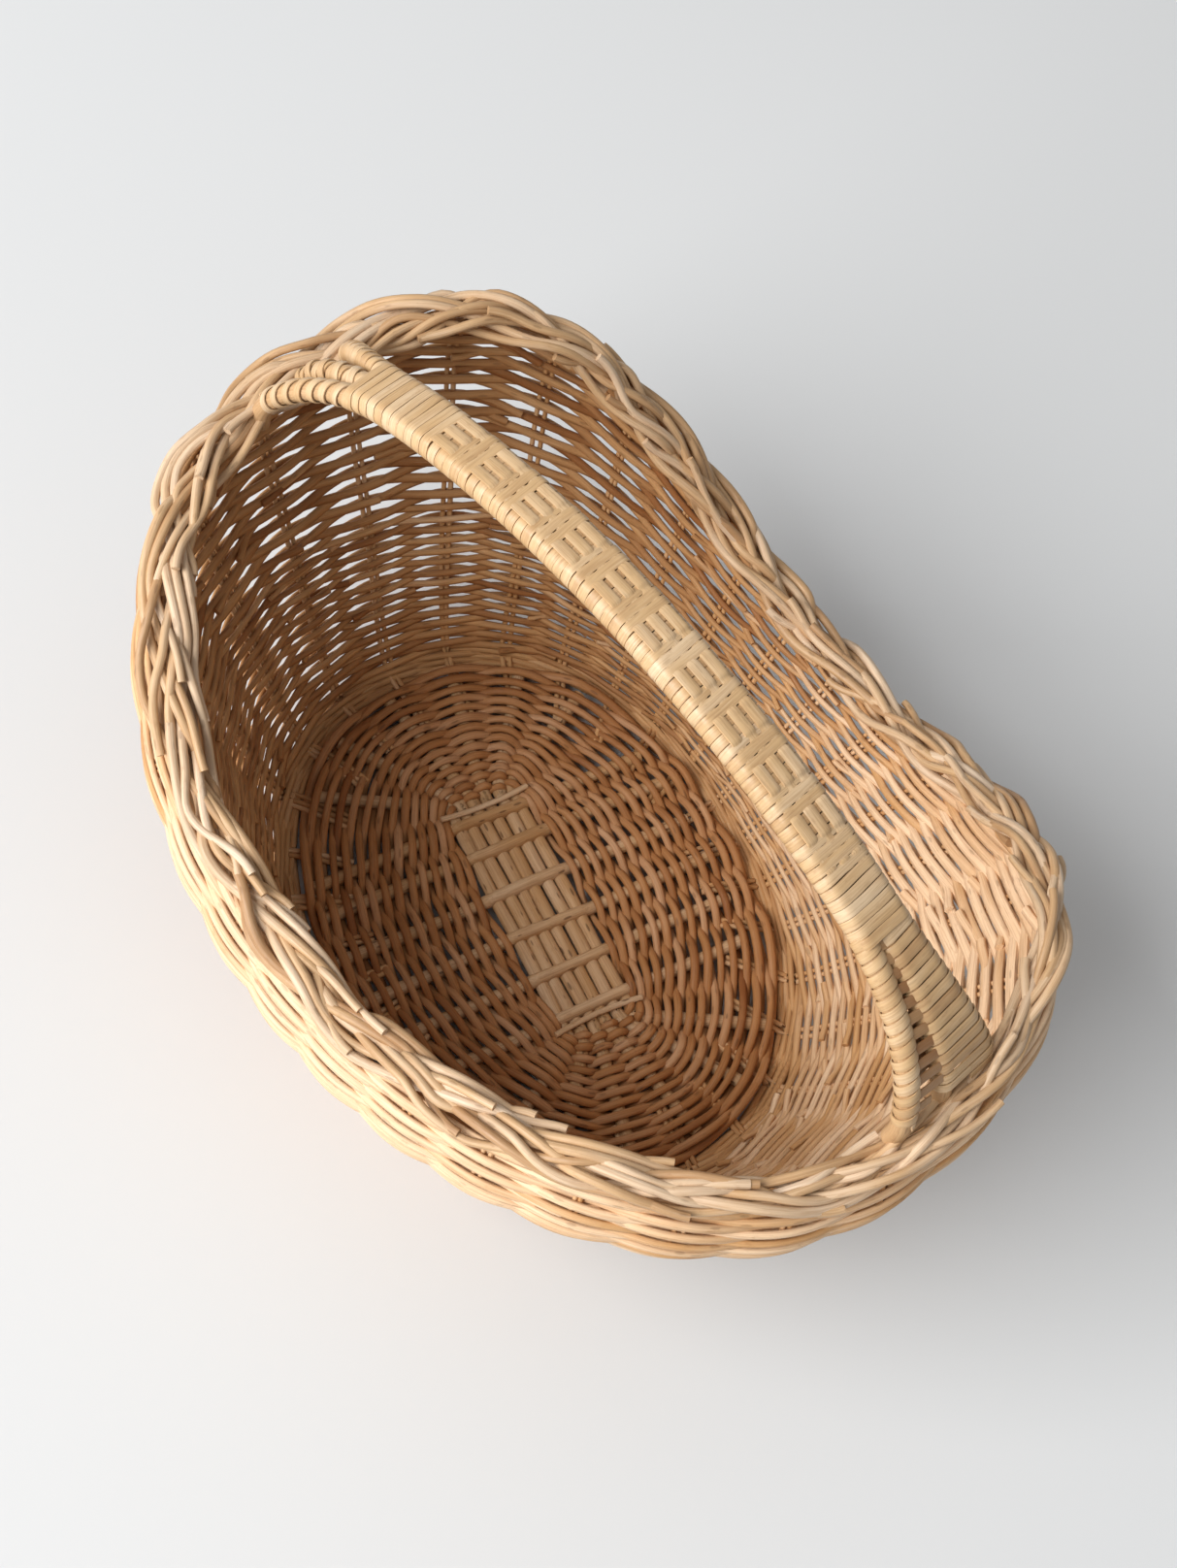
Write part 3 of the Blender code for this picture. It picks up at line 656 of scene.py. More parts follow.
def base_row(share):
    """A row's points: the number of the spoke at each, part way between spokes, and its direction."""
    shares, crossings = spoke_crossings()
    step = np.arange(0, len(crossings) + 2.001, 1 / BASE_SAMPLES)
    at = np.array([np.interp(share, shares, line) for line in crossings])
    at = np.concatenate((at, at[:3] + TURN))
    return step, np.interp(step, np.arange(len(at)), at)


def lay_cross_stick(rods, index):
    halves = [cross_stick_path(index, sign) for sign in (-1, 1)]
    path = np.vstack((halves[0][::-1], halves[1][1:]))
    path = resampled(path[::7], 90)
    path[:, 0] += 0.0004 * np.sin(path[:, 1] * 55 + index * 2.1)
    eye = smooth((WINDOW_HALF_WIDTH + EYE_EDGE / 2 - np.abs(path[:, 1])) / EYE_EDGE)
    radius = CROSS_STICK_RADIUS * wavy(0.05, path[:, 1] * 90 + index)
    tone = rods.random.uniform(0.52, 0.72)
    rods.add(base_to_world(path), UP, radius, radius + EYE_RISE * eye, 12, tone)


def lay_long_stick(rods, index):
    ends = [long_stick_path(index, sign) for sign in (-1, 1)]
    path = resampled(np.vstack((ends[0][::-2], ends[1][::2])), 130)
    shift = rods.random.uniform(-0.0005, 0.0005)
    path[:, 1] += shift + 0.0003 * np.sin(path[:, 0] * 80 + index * 1.7)
    radius = LONG_STICK_RADIUS * wavy(0.04, path[:, 0] * 70 + index * 3)
    tone = rods.random.uniform(0.5, 0.75)
    rods.add(base_to_world(path), UP, radius, radius * LONG_STICK_FLATNESS, 12, tone)


def lay_end_rod(rods, sign, stick):
    """A thin rod beside the first or last cross stick, where the weave is tied on."""
    y = np.linspace(-END_ROD_HALF_LENGTH, END_ROD_HALF_LENGTH, 24)
    bow = END_ROD_BOW * (y / END_ROD_HALF_LENGTH) ** 2
    x = cross_stick_position(stick) + sign * (END_ROD_GAP + bow)
    path = np.stack((x, y, np.full_like(y, BASE_MID_HEIGHT + END_ROD_LIFT)), axis=-1)
    rods.add(base_to_world(path), UP, *END_ROD_HALF_SIZES, 8, 0.8)


class BASKET_OT_base_sticks(bpy.types.Operator):
    """Cross sticks with an eye for the long sticks, long sticks fanned at both ends, and end rods"""

    bl_idname = "basket.base_sticks"
    bl_label = "Base sticks"

    def execute(self, context):
        rods = Rods(11)
        for index in range(STICK_COUNT):
            lay_cross_stick(rods, index)
        for index in range(STICK_COUNT):
            lay_long_stick(rods, index)
        lay_end_rod(rods, -1, 0)
        lay_end_rod(rods, 1, STICK_COUNT - 1)
        obj = rods.build("base_sticks", finish("Stick willow"))
        sticks = [f"base_cross_stick_{i + 1}" for i in range(STICK_COUNT)]
        sticks += [f"base_long_stick_{i + 1}" for i in range(STICK_COUNT)]
        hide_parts(*sticks, "base_end_rod_1", "base_end_rod_2")
        return {"FINISHED"}


def weave_base_row(rods, sizes, row):
    """One row of the base, over and under the spokes."""
    share = (row + 0.5) / sizes.base_rows * ROWS_REACH
    step, angle = base_row(share)
    phases = rods.random.uniform(0, TURN, 3)
    wander = np.sin(2 * angle + phases[0]) + np.sin(5 * angle + phases[1])
    radius = row_radius(angle, share) + 0.00035 * wander
    radius += 0.0003 * np.sin(math.pi * step + math.pi * row)
    lift = PAIRING_LIFT * np.cos(math.pi * (step + row)) * wavy(0.08, step * 2.3 + phases[2])
    height = np.maximum(BASE_MID_HEIGHT + lift, BASE_UNDERSIDE)
    path = np.stack((radius * np.cos(angle), radius * np.sin(angle), height), axis=-1)
    half = sizes.base_rod_width / 2 * rods.random.uniform(0.86, 1.1)
    width = half * wavy(0.06, step * 1.3 + phases[0])
    tone = np.clip(rods.random.normal(0.5, 0.12) + 0.10 * np.sin(step * 0.5 + phases[1]), 0, 1)
    rods.add(base_to_world(path), UP, width, width * BASE_ROD_FLATNESS, 8, tone)


class BASKET_OT_base_weave(bpy.types.Operator):
    """Thin rods woven over and under the sticks of the base"""

    bl_idname = "basket.base_weave"
    bl_label = "Base weave"

    def execute(self, context):
        sizes = context.scene.basket_weave
        rods = Rods(23)
        for row in range(sizes.base_rows):
            weave_base_row(rods, sizes, row)
        obj = rods.build("base_weave_rods", finish("Base willow"))
        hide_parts("base_weave")
        return {"FINISHED"}


# ------------------------------------------------------------ wall

WALL_PHASE = math.radians(2.0)
SHADED_SIDE = math.radians(165)  # the weave opens lower on this side, and painted shade lowers the rods' tone here, for the shaded far wall
# how far painted shade lowers the tone of the wall rods on the shaded side
PAINTED_SHADE_DEPTH = 0.40
WALL_PALENESS = 0.19
BROAD_PLACES = ((0.62, 0.60, 0.55), (4.60, 0.95, 0.85))  # direction, spread and extra width
ROW_HEIGHTS = (0.0034, 0.0032, 0.00445)  # wale, close weave and open weave, in proportion
CLOSED_SHARE = 0.24  # middle height of the close weave, which swings from side to side
CLOSED_SWING = 0.15
OPENING_RAMP = 0.12
LEAST_PART = 0.16
WEAVE_SAMPLES = 10  # path points from one stake to the next
WEAVE_THICKNESS = 0.0015
STAKE_CLEARANCE = 0.0013
ROW_DRIFT = ((2, 0.4, 1.1, 0.50), (3, 2.2, 3.0, 0.40), (5, 4.0, -2.2, 0.30), (7, 1.3, 4.1, 0.25))


def row_shares(sizes):
    """Middle of each row as a share of the wall: wale, then close weave, then open weave."""
    heights = np.repeat(ROW_HEIGHTS, (sizes.wale_rows, sizes.dense_rows, sizes.open_rows))
    return (np.cumsum(heights) - heights / 2) / heights.sum(), heights / heights.sum()


def drifted(angle, share):
    """Slow waviness that all rows share, none at the foot or under the border."""
    wave = sum(size * np.sin(m * angle + p + q * share) for m, p, q, size in ROW_DRIFT)
    return share + 0.011 * wave * np.clip(4 * share * (1 - share), 0, 1)


def broadness(angle, share):
    """Extra width of the rods: the upper wall has broader, paler rods in two places; the paleness is partly
    the rods' own tone and partly painted light on the lit right wall and near outside.
    """
    extra = 0.0
    for direction, spread, size in BROAD_PLACES:
        apart = np.mod(angle - direction + math.pi, TURN) - math.pi
        extra = extra + size * np.exp(-((apart / spread) ** 2))
    return extra * smooth((share - 0.3) / 0.3)


def split_row(random, stakes, longest, shortest):
    """Cuts a full round of weave into rods, as (first, last) stake positions that overlap."""
    start = random.uniform(0, stakes)
    cuts = [start]
    while cuts[-1] < start + stakes - shortest:
        cuts.append(cuts[-1] + random.uniform(shortest, longest))
    cuts[-1] = start + stakes
    return [(a - 0.5, b + 0.5) for a, b in zip(cuts, cuts[1:])]


def weave_rod(rods, sizes, row, share, pitch, first, last, half_width, tone):
    """One rod of plain weave, from one stake position to another."""
    step = np.linspace(first, last, int((last - first) * WEAVE_SAMPLES) + 1)
    angle = TURN * step / sizes.stakes + WALL_PHASE
    local_pitch = pitch * wall_length(angle)
    to_start, to_end = step - first, last - step
    overlap = smooth(1 - to_start / 1.1) - smooth(1 - to_end / 1.1)
    wave = np.cos(math.pi * (step + row))
    toward_shaded_side = np.cos(angle - SHADED_SIDE)
    closed_below = CLOSED_SHARE - CLOSED_SWING * toward_shaded_side + 0.03 * np.sin(7 * angle)
    airy = smooth((share - closed_below) / OPENING_RAMP)
    part = LEAST_PART + (sizes.opening - LEAST_PART) * airy
    part = part * (0.88 + 0.12 * np.sin(3.1 * angle + 0.7 * row))
    shift = 0.5 * part * wave + 0.22 * overlap
    phase = rods.random.uniform(0, TURN, 2)
    shift = shift + (0.07 + 0.06 * airy) * np.sin(step * 0.45 + phase[0])
    # the broad rods are also made paler below: partly their own tone, partly painted light where the window
    # light falls
    extra = broadness(angle, share)
    closeness = 1 - airy
    widest = 0.49 + 0.11 * part + 0.13 * closeness + 0.35 * extra
    width = np.minimum(half_width * (1 + extra + 0.12 * closeness), widest * local_pitch)
    taper = 1 - (0.24 * smooth(1 - to_end / 3) + 0.16 * smooth(1 - to_start / 1.2)) * (0.35 + 0.65 * airy)
    width = width * taper * wavy(0.05, step * 1.7 + phase[1])
    # painted shade: the rods' tone drops towards the shaded side, standing in for the shade inside the far
    # wall
    tone = tone + 0.55 * extra - PAINTED_SHADE_DEPTH * smooth(0.3 + toward_shaded_side) + WALL_PALENESS
    thick = np.minimum(width * 0.78, WEAVE_THICKNESS)
    offset = (STAKE_CLEARANCE + thick) * wave * (0.56 + 0.24 * airy)
    inside = rods.random.uniform(0.002, 0.0045)
    offset = offset - inside * smooth(1 - to_end / 0.35) - inside * 0.6 * smooth(1 - to_start / 0.3)
    place = drifted(angle, share) + shift * pitch
    path, normal = wall_at(angle, place, offset)
    rods.add(path, normal, width, thick, 6, np.clip(tone, 0.03, 1))


STAKE_TAIL = ((0.024, 0.0088), (0.012, 0.0082), (0.001, 0.0066))  # inward of the base edge, and height
STAKE_WOBBLE = 0.0005
STAKE_TAPER = (1.08, 0.88)
STAKE_ROD_PITCH = (0.0027, 0.0031)
THREE_ROD_SHARE = 0.2  # of the groups have three rods, the others two


def stand_stake(rods, angle, lane, half):
    """One thin stake rod in a direction, beside the middle of its group by the lane."""
    share = np.linspace(0.03, 1.0, 34)
    middle, _ = wall_at(np.full_like(share, angle), share)
    radius = np.hypot(middle[:, 0] - BASE_CENTRE[0], middle[:, 1] - BASE_CENTRE[1])
    wobble = np.sin(share * rods.random.uniform(5, 11) + rods.random.uniform(0, TURN))
    path, _ = wall_at(angle + (lane + STAKE_WOBBLE * wobble) / radius, share)
    edge = base_outline(angle - BASE_TURN)
    tail = []
    for inward, z in STAKE_TAIL:
        direction = angle + lane / (edge - inward)
        along = np.array((math.cos(direction), math.sin(direction), 0)) * (edge - inward)
        tail.append(BASE_CENTRE + along + UP * z)
    path = resampled(np.vstack((tail, path)), 44)
    width = half * rods.random.uniform(0.9, 1.1) * np.linspace(*STAKE_TAPER, len(path))
    radial = path - BASE_CENTRE
    radial[:, 2] = 0
    rods.add(path, unit(radial) + UP * 0.4, width, width * 0.96, 6, rods.random.uniform(0.35, 0.75))


class BASKET_OT_stakes(bpy.types.Operator):
    """Upright groups of thin rods, from the edge of the base up into the border"""

    bl_idname = "basket.stakes"
    bl_label = "Wall stakes"

    def execute(self, context):
        sizes = context.scene.basket_weave
        rods = Rods(31)
        for stake in range(sizes.stakes):
            angle = TURN * stake / sizes.stakes + WALL_PHASE
            members = 3 if rods.random.random() < THREE_ROD_SHARE else 2
            for member in range(members):
                lane = (member - (members - 1) / 2) * rods.random.uniform(*STAKE_ROD_PITCH)
                stand_stake(rods, angle, lane, sizes.stake_rod_width / 2)
        obj = rods.build("wall_stake_rods", finish("Stake willow"))
        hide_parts(*[f"wall_stake_{i + 1}" for i in range(24)])
        return {"FINISHED"}


WALE_ROD_RADIUS = 0.00175
WALE_SWING = 0.0023  # in and out round the stakes
WALE_RISE = 0.0011
WALE_UNDERSIDE = 0.0018


class BASKET_OT_wale(bpy.types.Operator):
    """Rows of three-rod wale that turn the stakes up at the foot of the wall"""

    bl_idname = "basket.wale"
    bl_label = "Foot wale"

    def execute(self, context):
        sizes = context.scene.basket_weave
        rods = Rods(41)
        shares, _ = row_shares(sizes)
        around = sizes.stakes + 1.5
        for row in range(sizes.wale_rows):
            for member in range(3):
                step = np.linspace(0, around, int(around * 9))
                angle = TURN * step / sizes.stakes + WALL_PHASE
                turn = TURN * (step + member + row) / 3
                offset = WALE_SWING * (0.75 - np.cos(turn))
                place = shares[row] - 0.006 + (WALE_RISE * np.sin(turn) + 0.0004) / wall_length(angle)
                path, normal = wall_at(angle, place, offset)
                path[:, 2] = np.maximum(path[:, 2], WALE_UNDERSIDE)
                half = WALE_ROD_RADIUS * rods.random.uniform(0.92, 1.06)
                rods.add(path, normal, half, half, 6, rods.random.uniform(0.3, 0.55))
        obj = rods.build("foot_wale_rods", finish("Wall willow"))
        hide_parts("foot_wale")
        return {"FINISHED"}


class BASKET_OT_wall_weave(bpy.types.Operator):
    """Close weave low on the wall and open weave above it, rod by rod"""

    bl_idname = "basket.wall_weave"
    bl_label = "Wall weave"

    def execute(self, context):
        sizes = context.scene.basket_weave
        shares, pitches = row_shares(sizes)
        close, first_open = sizes.wale_rows, sizes.wale_rows + sizes.dense_rows
        split = first_open + sizes.open_rows // 2
        groups = (
            ("wall_weave_low", close, first_open, sizes.dense_rod_width / 2, (1, 2)),
            ("wall_weave_middle", first_open, split, sizes.open_rod_width / 2, (3, 4)),
            ("wall_weave_high", split, len(shares), sizes.open_rod_width / 2, (5, 6)),
        )
        for seed, (name, start, stop, half, bands) in enumerate(groups, 53):
            rods = Rods(seed)
            for row in range(start, stop):
                for first, last in split_row(rods.random, sizes.stakes, 13, 7):
                    tone = np.clip(rods.random.normal(0.5, 0.14), 0.1, 0.95)
                    width = half * rods.random.uniform(0.84, 1.08)
                    weave_rod(rods, sizes, row, shares[row], pitches[row], first, last, width, tone)
            obj = rods.build(name, finish("Wall willow"))
            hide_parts(*[f"wall_weave_{band}" for band in bands])
        return {"FINISHED"}


# ------------------------------------------------------------ border


@lru_cache(maxsize=None)
def rim_line():
    """Rim centre line: length along it, points, outward and up directions."""
    turns = np.linspace(0, TURN, 3001)
    points = rim_point(turns)
    along = unit(np.roll(points[:-1], -1, axis=0) - np.roll(points[:-1], 1, axis=0))
    along = np.vstack((along, along[:1]))
    outward = unit(np.cross(along, UP))
    return run_along(points), points, outward, np.cross(outward, along)


def rim_frame(distance):
    """Centre, outward and up directions of the border, by distance round the rim."""
    run, points, outward, up = rim_line()
    around = np.mod(distance, run[-1])

    def read(values):
        return np.stack([np.interp(around, run, values[:, k]) for k in range(3)], axis=-1)

    return read(points), unit(read(outward)), unit(read(up))


WIDE_BORDER = 0.45  # share of the way round where the plait is at its widest
ROD_REACH = 10.6  # length of a border rod, in spacings between rods
RISING_STRIDES = 1.5  # a rod comes up from the wall over this many spacings
RISING_DEPTH = 0.011
LEAVING_STRIDES = 2.0  # and leaves the plait over this many
LANE_PITCH = 0.0044  # between the three rods of a strand
STRAND_BULGE = 0.0032
STRAND_DROOP = 24.0  # per metre: how fast the plait falls off to its sides
BORDER_EXITS = ((-0.0108, -0.0010), (0.0105, -0.0020), (-0.0030, 0.0062))  # side and lift of a cut end


def plait_rod(rods, sizes, index):
    """One stake end, from where it leaves the wall to its cut end in the border."""
    perimeter = rim_line()[0][-1]
    stride, period = perimeter / sizes.rods, perimeter / sizes.plaits
    strand, slot = index % 3, (index // 3) % 3
    reach = stride * (ROD_REACH + rods.random.uniform(-1.0, 1.2))
    start = stride * index
    distance = np.linspace(0, reach, 72)
    turn = TURN * ((start + distance) / period + strand / 3) + rods.random.normal(0, 0.22)
    sway = np.arcsin(0.96 * np.sin(turn)) / math.asin(0.96)
    bulge = STRAND_BULGE * rods.random.uniform(0, 1) ** 3 * smooth(2 * sway - 0.8)
    wide = 1 + 0.3 * np.cos(TURN * ((start + distance) / perimeter - WIDE_BORDER))
    lateral = sizes.swing * rods.random.uniform(0.85, 1.15) * wide * sway + bulge
    lateral = lateral + (slot - 1) * LANE_PITCH * (0.7 + 0.3 * np.abs(np.cos(turn)))
    lateral = lateral + 0.0006 * np.sin(distance * 45 + index)
    height = sizes.rise * np.sin(2 * turn) + 0.0008 * np.cos(turn) * (slot - 1)
    height = height - STRAND_DROOP * lateral**2 + 0.0008
    rising = smooth(1 - distance / (stride * RISING_STRIDES))
    height = height - rising * RISING_DEPTH
    lateral = lateral * (1 - rising)
    leaving = smooth(1 - (reach - distance) / (stride * LEAVING_STRIDES))
    side, lift = BORDER_EXITS[int(rods.random.choice(3, p=(0.5, 0.2, 0.3)))]
    lateral = lateral * (1 - leaving) + side * leaving
    height = height * (1 - leaving) + (lift + rods.random.uniform(-0.001, 0.001)) * leaving
    centre, outward, up = rim_frame(start + distance)
    path = centre + outward * lateral[:, None] + up * height[:, None]
    half = sizes.rod_width / 2 * rods.random.uniform(0.88, 1.08) * (1 - 0.16 * distance / reach)
    tone = np.clip(rods.random.normal(0.52, 0.13), 0.15, 0.95)
    rods.add(path, up, half, half * 0.93, 8, tone)


class BASKET_OT_border(bpy.types.Operator):
    """Stake ends plaited along the rim in three strands of three rods"""

    bl_idname = "basket.border"
    bl_label = "Plaited border"

    def execute(self, context):
        sizes = context.scene.basket_border
        rods = Rods(67)
        for index in range(sizes.rods):
            plait_rod(rods, sizes, index)
        obj = rods.build("border_plait", finish("Border willow"))
        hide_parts("rim_border")
        return {"FINISHED"}


# ------------------------------------------------------------ handle


def stadium(turn, half_run, radius):
    """A flat oval section: shift of the round end's centre and direction from it, from the +Y edge."""
    arc, flat = math.pi * radius, 2 * half_run
    total = 2 * (arc + flat)
    s = np.mod(turn, 1.0) * total
    edges = np.array((0, arc / 2, arc / 2 + flat, 1.5 * arc + flat, 1.5 * arc + 2 * flat, total))
    angle = np.interp(s, edges, (0, math.pi / 2, math.pi / 2, 1.5 * math.pi, 1.5 * math.pi, TURN))
    shift = np.interp(s, edges, (half_run, half_run, -half_run, -half_run, half_run, half_run))
    return shift, angle


def wrap_up(share, angle):
    """Direction of a wrap's thickness, square to the bow."""
    return up_at(share) * np.sin(angle)[:, None] + np.array((0, 1, 0)) * np.cos(angle)[:, None]


BINDING_ENDS = {-1: 0.62, 1: 0.50}  # shares of the half span that are bound together
PATTERN_SHARES = (-0.405, 0.375)  # the strips show between these, along the bow
BOW_CORE_RADIUS = 0.0045
LEG_TAIL = 0.007  # length of a leg below its last point, down inside the border
CROWN_HALF_WIDTH = 0.017
CROWN = 0.0007  # the wraps rise this much over the middle of the grip, and over the strips
STRIP_LIFT = 0.0008
STRIP_HALF_THICKNESS = 0.0007
WRAP_SQUARENESS, STRIP_SQUARENESS, LEG_WRAP_SQUARENESS = 4.8, 3.0, 3.6


@lru_cache(maxsize=None)
def handle_run():
    """Length along the bow by share, zero at the top."""
    shares = np.linspace(-1, 1, 2001)
    run = run_along(handle_point(shares))
    return shares, run - run[1000]


def share_at(run):
    shares, runs = handle_run()
    return np.interp(run, runs, shares)


def run_at(share):
    shares, runs = handle_run()
    return np.interp(share, shares, runs)


def up_at(share):
    return unit(handle_point(share, 0.0, 0.001) - handle_point(share))


LEG_WRAPS = (  # end, rods bound together, spacing of the turns, last share, direction, radius, tone
    (1, (-1, -1), 0.0049, 0.93, 1, 0.0045, 0.5),
    (1, (0, 1), 0.0050, 0.92, 1, 0.0045, 0.45),
    # figure-eight turns between rods -1 and 0 at the near end: their tone of 0.08 is painted shade, for the
    # shadowed gap between the legs
    (1, (-1, 0), 0.0062, 0.88, -1, 0.0030, 0.08),
    (-1, (-1, -1), 0.0062, 0.93, 1, 0.0045, 0.55),
    (-1, (0, 0), 0.0056, 0.93, 1, 0.0045, 0.5),
    (-1, (0, 0), 0.0095, 0.93, -1, 0.0053, 0.5),
    (-1, (1, 1), 0.0049, 0.93, 1, 0.0045, 0.5),
)


class BASKET_OT_handle_rods(bpy.types.Operator):
    """Three bow rods side by side that part into legs at both ends"""

    bl_idname = "basket.handle_rods"
    bl_label = "Handle rods"

    def execute(self, context):
        rods = Rods(71)
        for rod in (-1, 0, 1):
            share = np.linspace(-1, 1, 180)
            path = handle_point(share, rod_lateral(rod, share))
            foot = path[[0, -1]] - UP * LEG_TAIL
            path = np.vstack((foot[:1], path, foot[1:]))
            rods.add(path, (0, 1, 0), BOW_CORE_RADIUS, BOW_CORE_RADIUS, 12, 0.45)
        obj = rods.build("handle_bow_rods", finish("Bow willow"))
        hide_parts("handle_rod_1", "handle_rod_2", "handle_rod_3")
        return {"FINISHED"}


class BASKET_OT_handle_binding(bpy.types.Operator):
    """Flat cane wound round the bow, over and under three lengthwise strips"""

    bl_idname = "basket.handle_binding"
    bl_label = "Handle binding"

    def execute(self, context):
        sizes = context.scene.basket_handle
        cane = finish("Handle cane")
        self.wind_grip(sizes, cane)
        self.lay_strips(sizes, cane)
        self.wind_legs(sizes, cane)
        return {"FINISHED"}

    def pattern(self, run, sizes):
        """1 where the wraps pass over the strips, 0 where they pass under them."""
        start, stop = run_at(PATTERN_SHARES[0]), run_at(PATTERN_SHARES[1])
        along = (run - start) / (stop - start)
        phase = np.mod(along * sizes.repeats, 1.0)
        over = smooth((phase - 0.45) / 0.06) * smooth((1.0 - phase) / 0.03)
        return np.where((along > 0) & (along < 1), over, 1.0)

    def wind_grip(self, sizes, cane):
        rods = Rods(79)
        first, last = run_at(-BINDING_ENDS[-1]), run_at(BINDING_ENDS[1])
        turns = int((last - first) / sizes.wrap_width)
        for turn in range(turns):
            around = np.linspace(-0.04, 1.04, 72)
            run = first + (last - first) * (turn + np.clip(around, 0, 1) * 0.9 + 0.05) / turns
            run = run + 0.00018 * np.sin(around * TURN * 2 + turn)
            share = share_at(run)
            half_run = rod_lateral(1, share)
            shift, angle = stadium(around - 0.25, half_run[0], HANDLE_ROD_RADIUS)
            top = smooth(np.sin(angle) * 3 - 1.6)
            over = self.pattern(run, sizes)
            lift = HANDLE_ROD_RADIUS + sizes.wrap_thickness / 2 + CROWN * over * top
            lateral = shift + lift * np.cos(angle)
            crown = CROWN * np.sin(angle) * (1 - (lateral / CROWN_HALF_WIDTH) ** 2)
            path = handle_point(share, lateral, lift * np.sin(angle) + crown)
            half = sizes.wrap_width / 2 * rods.random.uniform(0.94, 1.0)
            tone = rods.random.uniform(0.42, 0.62)
            up = wrap_up(share, angle)
            rods.add(path, up, half, sizes.wrap_thickness / 2, 8, tone, WRAP_SQUARENESS)
        obj = rods.build("handle_grip_wrap", cane)
        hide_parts("handle_binding")

    def lay_strips(self, sizes, cane):
        rods = Rods(83)
        start, stop = run_at(PATTERN_SHARES[0]) - 0.004, run_at(PATTERN_SHARES[1]) + 0.004
        for lane in (-1, 0, 1):
            run = np.linspace(start, stop, 300)
            share = share_at(run)
            over = self.pattern(run, sizes)
            lateral = lane * sizes.strip_pitch
            low = HANDLE_ROD_RADIUS + sizes.wrap_thickness * 0.9
            lift = low + (1 - over) * STRIP_LIFT + CROWN * (1 - (lateral / CROWN_HALF_WIDTH) ** 2)
            path = handle_point(share, lateral, lift)
            width, tone = sizes.strip_width / 2, rods.random.uniform(0.5, 0.65)
            rods.add(path, up_at(share), width, STRIP_HALF_THICKNESS, 8, tone, STRIP_SQUARENESS)
        obj = rods.build("handle_lead_strips", cane)
        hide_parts(*[f"handle_lead_strip_{i}" for i in (1, 2, 3)])

    def wind_legs(self, sizes, cane):
        rods = Rods(89)
        thickness = sizes.wrap_thickness
        for sign, members, spacing, stop, reverse, core, shade in LEG_WRAPS:
            centre_rod, half_rods = sum(members) / 2, (members[1] - members[0]) / 2
            start, end = run_at(BINDING_ENDS[sign] - 0.015), run_at(stop)
            turns = int((end - start) / spacing)
            around = np.linspace(0, turns, turns * 28)
            share = share_at(start + (end - start) * around / turns) * sign
            half_run = half_rods * rod_lateral(1, share)
            turn = around * reverse + 0.25
            shift, angle = stadium(turn, half_run.mean(), core)
            angle = TURN * turn if half_rods == 0 else angle
            shift = shift * half_run / max(half_run.mean(), 1e-6)
            lift = core + thickness / 2
            lateral = rod_lateral(centre_rod, share) + shift + lift * np.cos(angle)
            path = handle_point(share, lateral, lift * np.sin(angle))
            tone = shade + 0.08 * np.sin(around * 1.3 + centre_rod)
            up, half = wrap_up(share, angle), sizes.wrap_width * 0.49
            rods.add(path, up, half, thickness / 2, 8, tone, LEG_WRAP_SQUARENESS)
        obj = rods.build("handle_leg_wraps", cane)
        ends = [f"handle_leg_wrap_{end}_{i}" for end in ("near", "far") for i in (1, 2, 3)]
        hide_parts(*ends)


# ------------------------------------------------------------ floor, light and camera

CAMERA_PLACE = Vector((0.2123, -0.4555, 1.0801))
CAMERA_TURN = Vector((2.3885, 1.1422, 0.0087))  # axis times angle, world to a view with y down and z ahead
CAMERA_LENS = 55.7
FLOOR_HALF_SIZE = 30.0
LIGHTS = (  # name, metres right, ahead and up in the camera's heading, side, power, tint
    ("window", (-3.6, -1.3, 2.6), 3.8, 345.0, (1.0, 0.995, 0.985)),
    ("ceiling", (-0.2, 0.5, 2.6), 2.5, 4.0, (0.96, 0.98, 1.0)),
)
ROOM_TINT = (1.0, 0.99, 0.975, 1)
ROOM_STRENGTH = 0.32


def camera_axes():
    """Right, up and back of the camera, in world directions."""
    turn = Matrix.Rotation(CAMERA_TURN.length, 3, CAMERA_TURN.normalized())
    return turn[0].copy(), -turn[1].copy(), -turn[2].copy()


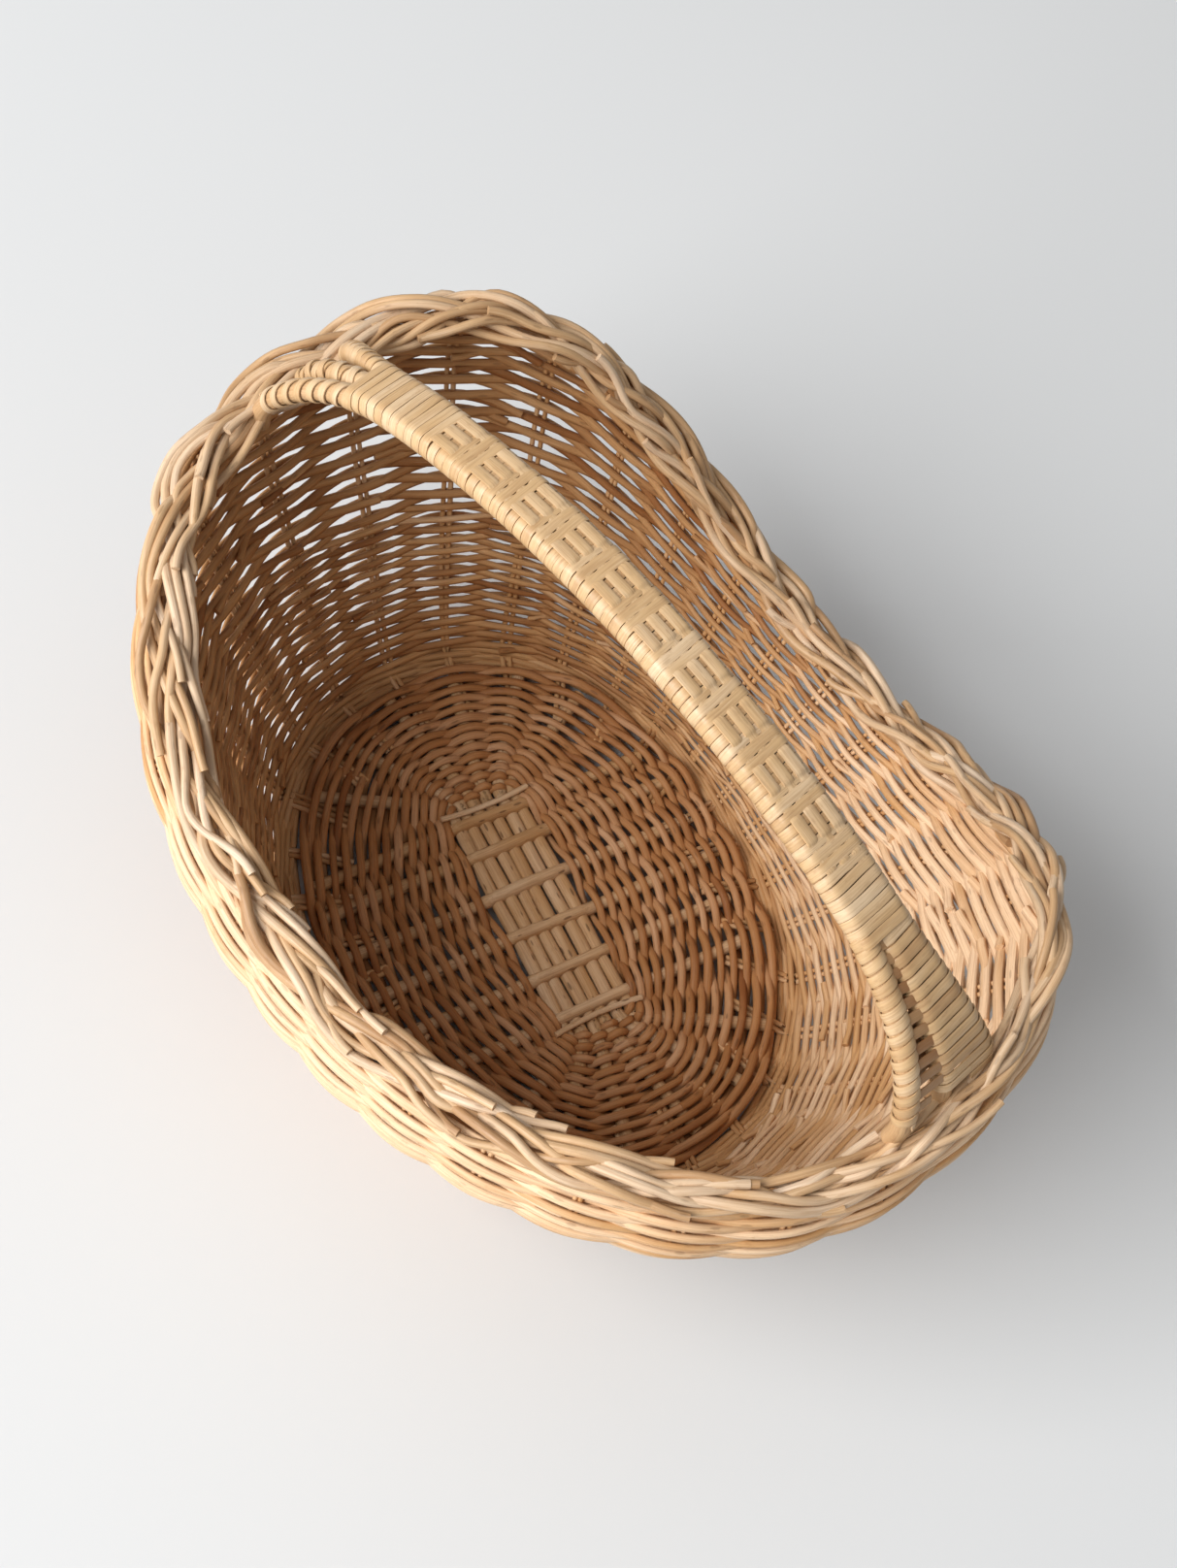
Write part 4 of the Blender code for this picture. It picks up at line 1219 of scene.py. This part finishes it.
class BASKET_OT_studio(bpy.types.Operator):
    """Pale floor, soft window light from the left, and the camera"""

    bl_idname = "basket.studio"
    bl_label = "Studio"

    def execute(self, context):
        self.make_floor()
        self.make_lights()
        self.make_camera(context.scene)
        context.scene.view_settings.view_transform = "Standard"
        return {"FINISHED"}

    def make_floor(self):
        mesh = bpy.data.meshes.new("floor")
        size = FLOOR_HALF_SIZE
        corners = [(-size, -size, 0), (size, -size, 0), (size, size, 0), (-size, size, 0)]
        mesh.from_pydata(corners, [], [(0, 1, 2, 3)])
        material = bpy.data.materials.new("Floor")
        material.use_nodes = True
        nodes, links = material.node_tree.nodes, material.node_tree.links
        shader = nodes["Principled BSDF"]
        shader.inputs["Roughness"].default_value = 0.7
        grey = nodes.new("ShaderNodeTexNoise")
        grey.inputs["Scale"].default_value = 2.0
        place = nodes.new("ShaderNodeTexCoord")
        links.new(place.outputs["Object"], grey.inputs["Vector"])
        mix = nodes.new("ShaderNodeMix")
        mix.data_type = "RGBA"
        tint = colour_of("floor")
        mix.inputs[6].default_value = (*(tint * 0.985), 1)
        mix.inputs[7].default_value = (*tint, 1)
        links.new(grey.outputs["Fac"], mix.inputs[0])
        links.new(mix.outputs[2], shader.inputs["Base Color"])
        mesh.materials.append(material)
        floor = bpy.data.objects.new("floor", mesh)
        link(floor)

    def add_area(self, name, place, side, power, tint):
        light = bpy.data.lights.new(name, "AREA")
        light.size = side
        light.energy = power
        light.color = tint
        obj = bpy.data.objects.new(name, light)
        obj.location = place
        aim = Vector((0, 0, 0.1)) - place
        obj.rotation_euler = aim.to_track_quat("-Z", "Y").to_euler()
        link(obj)

    def make_lights(self):
        right, up, _ = camera_axes()
        flat_right = Vector((right.x, right.y, 0)).normalized()
        flat_up = Vector((up.x, up.y, 0)).normalized()
        for name, (rightward, ahead, height), side, power, tint in LIGHTS:
            place = flat_right * rightward + flat_up * ahead + Vector((0, 0, height))
            self.add_area(name, place, side, power, tint)
        world = bpy.data.worlds.new("Room")
        world.use_nodes = True
        background = world.node_tree.nodes["Background"]
        background.inputs["Color"].default_value = ROOM_TINT
        background.inputs["Strength"].default_value = ROOM_STRENGTH
        bpy.context.scene.world = world

    def make_camera(self, scene):
        data = bpy.data.cameras.new("Camera")
        data.lens = CAMERA_LENS
        data.sensor_width = 36.0
        data.clip_start = 0.01
        camera = bpy.data.objects.new("Camera", data)
        turn = Matrix(camera_axes()).transposed()
        camera.matrix_world = Matrix.Translation(CAMERA_PLACE) @ turn.to_4x4()
        link(camera)
        scene.camera = camera


# ------------------------------------------------------------ panel and registration


class BASKET_PT_panel(bpy.types.Panel):
    """Lists the pieces of the basket"""

    bl_idname = "BASKET_PT_panel"
    bl_label = "Willow basket"
    bl_space_type = "VIEW_3D"
    bl_region_type = "UI"
    bl_category = "Basket"

    def draw(self, context):
        layout = self.layout
        for operator in PIECES:
            layout.operator(operator.bl_idname)
        for name, group in SETTINGS.items():
            box = layout.box()
            for field in group.__annotations__:
                box.prop(getattr(context.scene, name), field)


PIECES = (
    BASKET_OT_studio,
    BASKET_OT_base_sticks,
    BASKET_OT_base_weave,
    BASKET_OT_stakes,
    BASKET_OT_wale,
    BASKET_OT_wall_weave,
    BASKET_OT_border,
    BASKET_OT_handle_rods,
    BASKET_OT_handle_binding,
)
SETTINGS = {
    "basket_weave": BasketWeave,
    "basket_border": BasketBorder,
    "basket_handle": BasketHandle,
    "basket_colours": BasketColours,
}


def register():
    for cls in (*SETTINGS.values(), *PIECES, BASKET_PT_panel):
        bpy.utils.register_class(cls)
    for name, group in SETTINGS.items():
        setattr(bpy.types.Scene, name, PointerProperty(type=group))


def unregister():
    for name in SETTINGS:
        delattr(bpy.types.Scene, name)
    for cls in (BASKET_PT_panel, *reversed(PIECES), *reversed(SETTINGS.values())):
        bpy.utils.unregister_class(cls)


def main():
    register()
    for operator in PIECES:
        family, name = operator.bl_idname.split(".")
        getattr(getattr(bpy.ops, family), name)()


if __name__ == "__main__":
    main()
